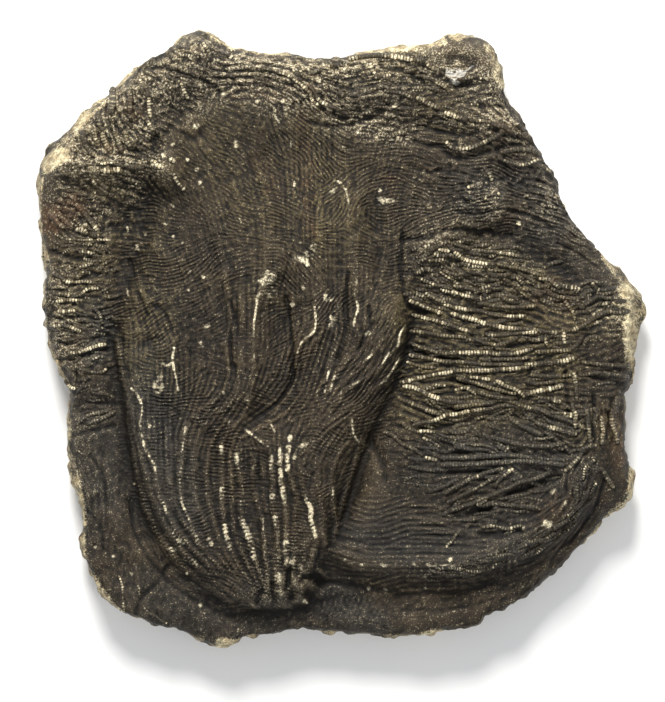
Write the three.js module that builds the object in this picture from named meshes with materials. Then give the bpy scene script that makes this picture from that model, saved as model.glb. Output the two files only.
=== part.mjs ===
// A loose slab of limestone with a fossil sea lily (crinoid) lying on its upper face: the crown
// of arms fans out over the left and middle, and the stem curls round a bed of cirri on the right.
// The fossil and its matrix are one stone, so the part is one closed solid.
//
// Millimetres, +Z up. The slab lies on its flat underside at z = 0, fossil face up. The origin is
// at the middle of the slab's box, on the underside. +X runs from the crown towards the cirri, and
// +Y from the root of the crown towards the tips of its arms.

import * as THREE from "three";

// Driving dimensions.
const BEDDING_HEIGHT = 15; // plain matrix, above the underside
const BULGE_HEIGHT = 8.5; // where the broken edge stands out furthest
const HEEL_HEIGHT = 2.6; // where the broken edge starts to turn under
const HEEL_INSET = 1.4; // how far the edge has gone in at the heel
const UNDERSIDE_INSET = 4; // how far the underside's border lies inside the outline
const SHOULDER_DROP = 1.2; // how much the worn rim of the face is lower than the face
const DATUM = new THREE.Vector2(0.2, 0.85); // moves the drawing's datum to the box's middle
const FACE_RINGS = 26; // rings of facets between the middle of the face and its rim
const CURVE_STEP = 3; // spacing of the points that a curve is measured by
const OUTLINE_DIVISIONS = 20; // pieces between two outline points that its length is measured by

const STONE_COLOUR = 0x3f3a33;
const STONE_ROUGHNESS = 0.55;
const STONE_METALNESS = 0.05;

// The slab's outline, anticlockwise from its top left corner: x, y, and how far the worn rim of
// the face stands inside the outline there.
const OUTLINE = [
  [-42.5, 90.8, 2.6], [-50, 87, 0.8], [-60, 80.5, 0.6], [-65, 75.5, 1.4], [-70, 72, 1.8],
  [-77, 66.5, 1.4], [-83, 60, 0.9], [-87, 57, 2.6], [-89.2, 53, 3.2], [-89.6, 48, 0.8],
  [-90, 42, 0.8], [-90.4, 34, 1.4], [-90.2, 27, 2.4], [-88.4, 18, 1.8], [-88.8, 12, 0.8],
  [-87.9, 0, 1.2], [-85.6, -8, 1.6], [-82, -14, 1.8], [-81.1, -18, 1.4], [-82, -25, 2.4],
  [-82.6, -33, 2.6], [-81.8, -39, 2.2], [-80, -45, 1.6], [-77.6, -50, 1.2], [-76.9, -55, 1.5],
  [-77.3, -60.5, 2.3], [-76.8, -66, 1.4], [-75, -72, 0.7], [-71.5, -79, 0.6], [-67, -83, 0.6],
  [-60, -85.6, 0.7], [-49, -87.8, 0.7], [-42, -90.6, 0.5], [-34.5, -92.5, 0.6], [-29, -91, 1.1],
  [-20, -90.3, 0.5], [-17, -88.9, 0.4], [-4, -88.5, 0.4], [7, -89, 0.5], [18, -90.1, 0.8],
  [26, -90.3, 0.8], [31, -88.6, 0.5], [40, -87.2, 0.4], [43, -84.4, 0.4], [50, -81.8, 0.4],
  [55, -77.8, 0.5], [62, -71.6, 0.6], [70, -65, 0.8], [75.5, -59.5, 1.4], [79, -54, 1.8],
  [84, -52, 1.8], [87.3, -47, 1.6], [86.4, -40, 1.2], [85.2, -33, 1], [85, -25, 1.3],
  [84.2, -17.5, 0.8], [86.6, -11.5, 1.2], [88.6, -4, 2.2], [90, 4, 4.6], [89.3, 11, 4.2],
  [84.5, 18.5, 3.2], [80, 21.6, 1.4], [75, 26, 0.5], [71.5, 31, 0.5], [68.4, 34, 0.5],
  [65.4, 41.5, 0.4], [63, 47, 0.4], [59, 55.5, 0.5], [54, 64.5, 0.7], [50, 69.8, 0.6],
  [47.5, 76.5, 0.8], [46.8, 81.5, 2.4], [44, 87.5, 2], [38, 89.6, 1.2], [31, 88.6, 1],
  [18, 86.2, 1], [6, 83.9, 1.2], [-5, 82.6, 0.9], [-15, 83.5, 0.8], [-26, 84.6, 1],
  [-34, 86.2, 1.6], [-38.5, 89.4, 2.2],
];

// Bodies that stand above the bedding plane: their outline, their height, and the width of the
// slope at their border.
const MOUNDS = [
  {
    name: "crown and the fan of its arms",
    rise: 5.2,
    slope: 7,
    outline: [
      [-65, 4], [-65, -14], [-61.5, -32], [-58.5, -48], [-53, -60], [-44, -71], [-32, -79],
      [-20, -80.5], [-11, -79], [-8, -70], [-4, -58], [1, -46], [6, -35], [12, -23], [17, -12],
      [20, -2], [22, 12], [34, 27], [48, 36], [44, 50], [20, 60], [-8, 66], [-34, 72], [-50, 62],
      [-54, 42], [-59, 22],
    ],
  },
  {
    name: "bed of cirri",
    rise: 3.6,
    slope: 6,
    outline: [
      [24, 14], [33, 26], [46, 28], [60, 20], [72, 12], [78, 0], [78, -30], [75, -46],
      [66, -58], [54, -65], [38, -70.5], [15, -71], [-2, -67], [-8, -62], [-1, -50], [7, -34],
      [15, -16], [21, 2],
    ],
  },
  {
    name: "bed of fragments along the upper edge",
    rise: 5,
    slope: 8,
    outline: [
      [-86, 49], [-62, 48], [-50, 44], [-50, 66], [-34, 73], [-8, 67], [20, 61], [44, 51],
      [60, 50], [50, 68], [45, 85], [30, 87], [0, 82], [-30, 84], [-44, 88], [-62, 77],
      [-80, 60],
    ],
  },
  {
    name: "left-hand bed of fragments",
    rise: 1.6,
    slope: 5,
    outline: [[-88, 50], [-70, 49], [-67, 30], [-69, 4], [-71, -20], [-82, -15], [-87, 6]],
  },
  {
    name: "right-hand shoulder",
    rise: 3.4,
    slope: 8,
    outline: [
      [50, 50], [62, 47], [72, 30], [86, 16], [88, 2], [80, -8], [78, 4], [68, 18], [56, 28],
      [46, 34],
    ],
  },
];

// Folds, strands and grooves: the line each follows, its half width and its height, which is
// negative for a groove.
const RIDGES = [
  {
    name: "curled stem",
    rise: 2.6,
    halfWidth: 4.6,
    line: [
      [-4, -63], [8, -68], [22, -69], [38, -68], [54, -62], [66, -53], [71, -42], [71, -28],
      [68, -12], [67, 2],
    ],
  },
  {
    name: "outer strand of the stem",
    rise: 1.4,
    halfWidth: 3.6,
    line: [[78, -46], [79, -34], [78, -20], [77, -8], [80, 4]],
  },
  {
    name: "right-hand bunch of arms",
    rise: 3.6,
    halfWidth: 8,
    line: [[-10, -58], [-9, -42], [-6, -28], [1, -16], [9, -6], [15, 4]],
  },
  {
    name: "middle bunch of arms",
    rise: 2,
    halfWidth: 5,
    line: [[-20, -78], [-20, -56], [-18, -38], [-24, -30], [-31, -26]],
  },
  {
    name: "left-hand bunch of arms",
    rise: 1.6,
    halfWidth: 5,
    line: [[-30, -76], [-40, -62], [-46, -48], [-47, -34], [-41, -24], [-30, -18]],
  },
  {
    name: "left-hand fold",
    rise: 1.4,
    halfWidth: 4,
    line: [[-52, -48], [-56, -38], [-59, -26], [-57, -14], [-50, -4]],
  },
  {
    name: "middle fold",
    rise: 2.2,
    halfWidth: 4.5,
    line: [[-20, 24], [-25, 10], [-26.5, -4], [-29, -16]],
  },
  {
    name: "root fold of the fan",
    rise: 2,
    halfWidth: 4,
    line: [[-6, 30], [-7, 14], [-8, 2], [-13, -6]],
  },
  {
    name: "right-hand edge of the fan",
    rise: 1.6,
    halfWidth: 4,
    line: [[3, 40], [4, 22], [5, 8], [2, -4]],
  },
  {
    name: "wall under the upper left corner",
    rise: 1.8,
    halfWidth: 3.4,
    line: [[-84, 49], [-70, 49.5], [-57, 50], [-49, 47], [-45, 42]],
  },
  {
    name: "row along the upper edge",
    rise: 1.6,
    halfWidth: 4,
    line: [[-14, 76], [-2, 69], [12, 72], [26, 68], [38, 63], [50, 60]],
  },
  {
    name: "groove left of the crown",
    rise: -2.2,
    halfWidth: 2.6,
    line: [[-69, 2], [-67, -10], [-64.5, -26], [-62, -44], [-57, -60]],
  },
  {
    name: "valley right of the crown",
    rise: -4.4,
    halfWidth: 4,
    line: [[22, 6], [19, -8], [12, -24], [6, -38], [1, -52], [-4, -62]],
  },
  {
    name: "groove between the folds",
    rise: -2,
    halfWidth: 3.4,
    line: [[-17, 14], [-16, -2], [-14, -12], [-20, -21], [-29, -26.5]],
  },
  {
    name: "hollow of the fan",
    rise: -2.2,
    halfWidth: 13,
    line: [[-54, 22], [-46, 38], [-30, 50], [-4, 54], [20, 46]],
  },
  {
    name: "hollow right of the fan",
    rise: -1.8,
    halfWidth: 7,
    line: [[10, 34], [14, 22], [22, 14]],
  },
  {
    name: "step below the stem",
    rise: -1.6,
    halfWidth: 5,
    line: [[-34, -85], [-14, -84], [8, -79], [36, -77], [58, -71], [74, -56]],
  },
];

// A smooth line through hand-set points, as short straight pieces.
function smoothLine(points, closed) {
  const vectors = points.map(([x, y]) => new THREE.Vector3(x, y, 0));
  const curve = new THREE.CatmullRomCurve3(vectors, closed, "centripetal");
  const pieces = Math.ceil(curve.getLength() / CURVE_STEP);
  return curve.getSpacedPoints(pieces);
}

// The distance from a point to a line made of straight pieces.
function distanceToLine(line, x, y) {
  let nearest = Infinity;
  for (let i = 1; i < line.length; i += 1) {
    const start = line[i - 1];
    const runX = line[i].x - start.x;
    const runY = line[i].y - start.y;
    const along = ((x - start.x) * runX + (y - start.y) * runY) / (runX * runX + runY * runY);
    const part = THREE.MathUtils.clamp(along, 0, 1);
    nearest = Math.min(nearest, Math.hypot(x - start.x - part * runX, y - start.y - part * runY));
  }
  return nearest;
}

// Whether a point is inside a closed line.
function isInside(line, x, y) {
  let inside = false;
  for (let i = 1; i < line.length; i += 1) {
    const a = line[i - 1];
    const b = line[i];
    const crosses = a.y > y !== b.y > y;
    if (crosses && x < a.x + ((y - a.y) / (b.y - a.y)) * (b.x - a.x)) {
      inside = !inside;
    }
  }
  return inside;
}

const mounds = MOUNDS.map((mound) => ({ ...mound, border: smoothLine(mound.outline, true) }));
const ridges = RIDGES.map((ridge) => ({ ...ridge, crest: smoothLine(ridge.line, false) }));

// The height of the fossil face above the underside.
function faceHeight(x, y) {
  let height = BEDDING_HEIGHT;
  for (const mound of mounds) {
    const away = distanceToLine(mound.border, x, y);
    const depth = isInside(mound.border, x, y) ? away : -away;
    height += mound.rise * THREE.MathUtils.smoothstep(depth, -mound.slope / 2, mound.slope / 2);
  }
  for (const ridge of ridges) {
    const away = distanceToLine(ridge.crest, x, y) / ridge.halfWidth;
    height += ridge.rise * Math.exp(-away * away);
  }
  return height;
}

const outlinePoints = OUTLINE.map(([x, y, rim]) => new THREE.Vector3(x, y, rim));
const outlineCurve = new THREE.CatmullRomCurve3(outlinePoints, true, "centripetal");
outlineCurve.arcLengthDivisions = OUTLINE.length * OUTLINE_DIVISIONS;

const RIM_COLUMNS = 8 * FACE_RINGS;
const rimColumns = [];
for (let column = 0; column < RIM_COLUMNS; column += 1) {
  const point = outlineCurve.getPointAt(column / RIM_COLUMNS);
  rimColumns.push({ x: point.x, y: point.y, rim: point.z });
}

// The outline's point for a rim column, moved towards the slab's middle.
function insetPoint(column, inset) {
  const length = Math.hypot(column.x, column.y);
  const scale = (length - inset) / length;
  return [column.x * scale, column.y * scale];
}

// The place of a square grid's node on its own ring, counted anticlockwise from the ring's top
// left corner.
function placeOnRing(u, v, ring) {
  if (u === -ring) {
    return ring - v;
  }
  if (v === -ring) {
    return 3 * ring + u;
  }
  if (u === ring) {
    return 5 * ring + v;
  }
  return 7 * ring - u;
}

// The face is a square grid drawn out to the outline, ring by ring.
function facePoint(u, v) {
  const ring = Math.max(Math.abs(u), Math.abs(v));
  if (ring === 0) {
    return [0, 0, faceHeight(0, 0)];
  }
  const place = (placeOnRing(u, v, ring) * FACE_RINGS) / ring;
  const before = rimColumns[Math.floor(place) % RIM_COLUMNS];
  const after = rimColumns[(Math.floor(place) + 1) % RIM_COLUMNS];
  const share = place - Math.floor(place);
  const [x0, y0] = insetPoint(before, before.rim);
  const [x1, y1] = insetPoint(after, after.rim);
  const reach = ring / FACE_RINGS;
  const x = THREE.MathUtils.lerp(x0, x1, share) * reach;
  const y = THREE.MathUtils.lerp(y0, y1, share) * reach;
  const drop = ring === FACE_RINGS ? SHOULDER_DROP : 0;
  return [x, y, faceHeight(x, y) - drop];
}

function slabGeometry() {
  const positions = [];
  const triangles = [];
  const addPoint = (x, y, z) => {
    positions.push(x + DATUM.x, y + DATUM.y, z);
    return positions.length / 3 - 1;
  };
  const addQuad = (a, b, c, d) => {
    triangles.push(a, b, c, a, c, d);
  };

  const side = 2 * FACE_RINGS + 1;
  const face = [];
  const rimRow = [];
  for (let v = -FACE_RINGS; v <= FACE_RINGS; v += 1) {
    for (let u = -FACE_RINGS; u <= FACE_RINGS; u += 1) {
      const index = addPoint(...facePoint(u, v));
      face.push(index);
      if (Math.max(Math.abs(u), Math.abs(v)) === FACE_RINGS) {
        rimRow[placeOnRing(u, v, FACE_RINGS)] = index;
      }
    }
  }
  const faceIndex = (u, v) => face[(v + FACE_RINGS) * side + u + FACE_RINGS];
  for (let v = -FACE_RINGS; v < FACE_RINGS; v += 1) {
    for (let u = -FACE_RINGS; u < FACE_RINGS; u += 1) {
      const corners = [
        faceIndex(u, v), faceIndex(u + 1, v), faceIndex(u + 1, v + 1), faceIndex(u, v + 1),
      ];
      const turn = (u < 0) === (v < 0) ? 0 : 1; // the split follows the ray from the middle
      addQuad(...corners.slice(turn), ...corners.slice(0, turn));
    }
  }

  const edgeRow = (inset, height) =>
    rimColumns.map((column) => addPoint(...insetPoint(column, inset), height));
  const rows = [
    rimRow,
    edgeRow(0, BULGE_HEIGHT),
    edgeRow(HEEL_INSET, HEEL_HEIGHT),
    edgeRow(UNDERSIDE_INSET, 0),
  ];
  for (let row = 1; row < rows.length; row += 1) {
    for (let column = 0; column < RIM_COLUMNS; column += 1) {
      const next = (column + 1) % RIM_COLUMNS;
      const upper = rows[row - 1];
      const lower = rows[row];
      addQuad(upper[column], lower[column], lower[next], upper[next]);
    }
  }

  const underside = rows[rows.length - 1];
  const border = underside.map(
    (index) => new THREE.Vector2(positions[3 * index], positions[3 * index + 1]),
  );
  for (const [a, b, c] of THREE.ShapeUtils.triangulateShape(border, [])) {
    const area = THREE.ShapeUtils.area([border[a], border[b], border[c]]);
    const facesDown = area < 0;
    triangles.push(underside[a], underside[facesDown ? b : c], underside[facesDown ? c : b]);
  }

  const geometry = new THREE.BufferGeometry();
  geometry.setAttribute("position", new THREE.Float32BufferAttribute(positions, 3));
  geometry.setIndex(triangles);
  geometry.computeVertexNormals();
  return geometry;
}

const stone = new THREE.MeshStandardMaterial({
  color: STONE_COLOUR,
  roughness: STONE_ROUGHNESS,
  metalness: STONE_METALNESS,
});

const slab = new THREE.Mesh(slabGeometry(), stone);
slab.name = "crinoid_slab";

const fossil = new THREE.Group();
fossil.add(slab);

export default fossil;
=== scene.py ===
"""A loose slab of limestone with a fossil sea lily (crinoid) in relief, around its CAD solid.

Lengths in this script are millimetres, drawn from the same datum as the CAD model, until a mesh
is made. Everything is part of one stone, so every piece rides on the one body, and the one CAD
node is hidden where they stand.
"""
import math

import bpy
import numpy as np
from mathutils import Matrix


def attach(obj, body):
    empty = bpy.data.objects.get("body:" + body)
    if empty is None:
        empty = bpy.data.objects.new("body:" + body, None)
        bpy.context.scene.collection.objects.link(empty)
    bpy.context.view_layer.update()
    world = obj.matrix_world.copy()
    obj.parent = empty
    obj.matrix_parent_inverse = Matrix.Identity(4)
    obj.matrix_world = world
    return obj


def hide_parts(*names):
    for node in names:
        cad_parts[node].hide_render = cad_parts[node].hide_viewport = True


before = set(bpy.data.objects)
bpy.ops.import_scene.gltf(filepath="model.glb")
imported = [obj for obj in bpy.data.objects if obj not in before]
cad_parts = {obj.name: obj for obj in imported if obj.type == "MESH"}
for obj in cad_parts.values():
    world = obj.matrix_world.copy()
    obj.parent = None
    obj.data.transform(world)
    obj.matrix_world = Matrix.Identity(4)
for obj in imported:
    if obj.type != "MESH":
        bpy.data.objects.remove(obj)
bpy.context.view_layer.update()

NODE = "crinoid_slab"
BODY = "root"
MM = 0.001
DATUM = np.array([0.2, 0.85])  # shift that brings the middle of the slab's box to the origin
BULGE_HEIGHT = 8.5  # where the broken edge stands out furthest, as in the CAD model
PATCH_FOOT = 8.0  # how deep the finer patches of the face reach into the slab
FACE_SUNK = 0.9  # how far the slab's own face lies below those patches
FLOOR = -0.4  # top of the floor, a little under the lowest spots of the slab

# ---------------------------------------------------------------------------------------------
# Drawing: the arms, strands and worn places of this fossil.
# ---------------------------------------------------------------------------------------------

# Arms of the crown, from its root upwards: width, then the line each follows.
ARMS = [
    (3.2, [(-33, -79), (-42, -73), (-50, -66), (-56, -57), (-60, -46), (-62, -34), (-64, -22)]),
    (3.0, [(-31, -78), (-40, -71), (-47, -64.5), (-52.5, -56), (-56.5, -47), (-59, -38),
           (-61.5, -28), (-63.5, -18), (-66, -8), (-67, 2)]),
    (2.8, [(-29, -78), (-38, -69.5), (-44, -63.5), (-49.5, -57), (-52.5, -50), (-54.6, -46.5),
           (-55.1, -40), (-58, -34), (-59.6, -28.5), (-59.2, -22), (-60.5, -17.5), (-63, -12.5)]),
    (2.8, [(-28, -78.5), (-36, -69), (-42, -62), (-46.5, -55.5), (-49.5, -49), (-51, -42),
           (-51.6, -34), (-51, -26), (-48.6, -18), (-49, -12.5), (-49.9, -8), (-49.4, -3),
           (-50, 3), (-55, 8.5), (-60, 13), (-62.5, 21)]),
    (2.8, [(-26, -79.5), (-33, -72), (-38.5, -66), (-42.7, -61), (-45, -55), (-46.9, -50.5),
           (-47.7, -45), (-47.5, -39), (-47, -33), (-46.2, -27.5), (-43, -23.5), (-38, -19.5),
           (-34.6, -15.5), (-33.3, -9), (-33.6, -2), (-32.6, 5), (-33.5, 12), (-35, 20)]),
    (2.8, [(-24.5, -79.5), (-31, -72), (-35.5, -66.5), (-38.8, -60.5), (-41.3, -54),
           (-43.3, -48), (-43.8, -41), (-43.2, -34), (-41, -28), (-36, -23), (-31.6, -18),
           (-30, -10), (-29.6, -2), (-29.5, 6), (-30, 14)]),
    (2.8, [(-24, -79), (-29, -72.5), (-33, -67), (-36, -60.5), (-38.2, -54), (-39.6, -47),
           (-39.8, -40), (-39, -33.5), (-36.5, -28.5), (-33, -25)]),
    (3.0, [(-23, -79.5), (-26.5, -74), (-30, -69.5), (-32.6, -63.5), (-34.4, -57.5),
           (-35.3, -51.5), (-35.3, -46), (-35.5, -40), (-35.6, -33.5), (-34, -29),
           (-29.5, -25), (-26.8, -18.5), (-26.1, -11), (-26, -3), (-25.4, 5), (-24.5, 11),
           (-22.5, 17)]),
    (2.6, [(-22.5, -79), (-25, -73.5), (-28, -67.5), (-31, -60.5), (-32.3, -54), (-32.5, -47),
           (-32.8, -40), (-32.8, -34), (-31.5, -29.5)]),
    (3.0, [(-21.5, -79), (-23.5, -73), (-25.5, -67), (-27.2, -62), (-29, -56.5), (-29.6, -51),
           (-29.2, -46.5), (-30, -42), (-30.8, -37), (-30.6, -33)]),
    (2.4, [(-21, -78.5), (-21.8, -72), (-22.6, -66), (-23.1, -60), (-23.6, -55), (-25.4, -49),
           (-26, -43), (-26.2, -37), (-28, -32.5)]),
    (2.8, [(-20, -79), (-19.5, -72), (-18.8, -66), (-18.9, -60), (-19.6, -55), (-20.3, -50),
           (-20.6, -44), (-20.8, -38.5), (-21.9, -34), (-25, -31), (-28.8, -28)]),
    (2.2, [(-22.5, -52), (-23, -46), (-23.2, -40), (-24.2, -35)]),
    (2.8, [(-18.5, -79), (-17, -72), (-16.3, -66), (-16.3, -60), (-16.3, -54.5), (-16.6, -50),
           (-17.4, -45.5), (-18.1, -40), (-18.2, -34), (-19.2, -29.5), (-20.8, -25.5)]),
    (2.6, [(-17, -79.5), (-14.5, -72), (-13.8, -65), (-13.8, -58), (-13.5, -52.5), (-13.2, -48),
           (-14.5, -44), (-15.8, -40), (-16, -35.5), (-14.6, -30), (-12, -26), (-10.5, -21)]),
    (2.8, [(-13, -79), (-10.4, -72), (-8.4, -65), (-7.5, -59.5), (-9, -54.5), (-9.3, -51),
           (-11, -46.5), (-12, -41), (-11.5, -37), (-8.5, -33), (-5.6, -28.8)]),
    (2.4, [(-5, -62), (-5.4, -56), (-6, -50), (-7, -44), (-6.6, -38), (-4.5, -34), (-2, -30)]),
    (2.4, [(-1.6, -55), (-2.5, -48), (-2.8, -42), (-1.5, -37), (1, -33), (5, -32)]),
    (2.6, [(-29, -27.8), (-24, -24.8), (-19.8, -22), (-16, -18), (-13.8, -13), (-13.4, -7),
           (-12.5, -4), (-10, -0.8), (-8.2, 1.5), (-7.7, 5), (-7.9, 10), (-9, 16)]),
    (2.4, [(-28.6, -30), (-23, -27), (-18, -24), (-13.4, -19.5), (-11.3, -13.5), (-11, -7),
           (-8.6, -3), (-5.6, 0.5), (-5, 5)]),
    (2.4, [(-9.4, -24), (-8, -20), (-6.8, -16.5), (-5, -13.5), (-4, -10), (-3, -6.5),
           (-1.8, -3.4), (-1.9, 1), (-2.4, 4), (-1, 7), (-1.5, 10)]),
    (2.4, [(-6.4, -21.5), (-4.5, -17), (-2.6, -13), (-0.6, -10), (1.5, -7.5), (4, -4.5),
           (5.2, -1.5), (4.2, 2.5), (3.9, 4.5), (4.8, 8), (4, 12), (4.5, 16)]),
    (2.4, [(-3.6, -20), (-1.5, -16.6), (1.5, -13.3), (4.5, -10.4), (6.8, -8), (9.3, -5.8),
           (11.5, -3), (13, 0.5)]),
    (2.6, [(-4, -24), (-0.8, -18.5), (2.5, -15.8), (5.5, -13.8), (9, -11.6), (12, -9.4),
           (14, -7), (16.4, -3.6), (17.6, -0.6), (19.4, 3)]),
    (2.6, [(-11, -33), (-6, -28), (-1, -24), (3, -21.3), (7, -18.6), (11, -15.4),
           (14, -12), (16.6, -8.4), (18.4, -4.5)]),
    (2.4, [(-14, -38), (-10.5, -34.6), (-7, -31.5), (-3, -27.4), (0.6, -25), (4, -22.6)]),
    (2.2, [(5, -32), (3.6, -30), (3.2, -27), (2.5, -24)]),
    (2.6, [(-2, -60), (0.4, -50), (2.4, -43.5), (3.9, -39), (5.2, -35), (7.2, -30),
           (9.6, -25), (12.4, -20), (14.4, -15.5)]),
]
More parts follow.
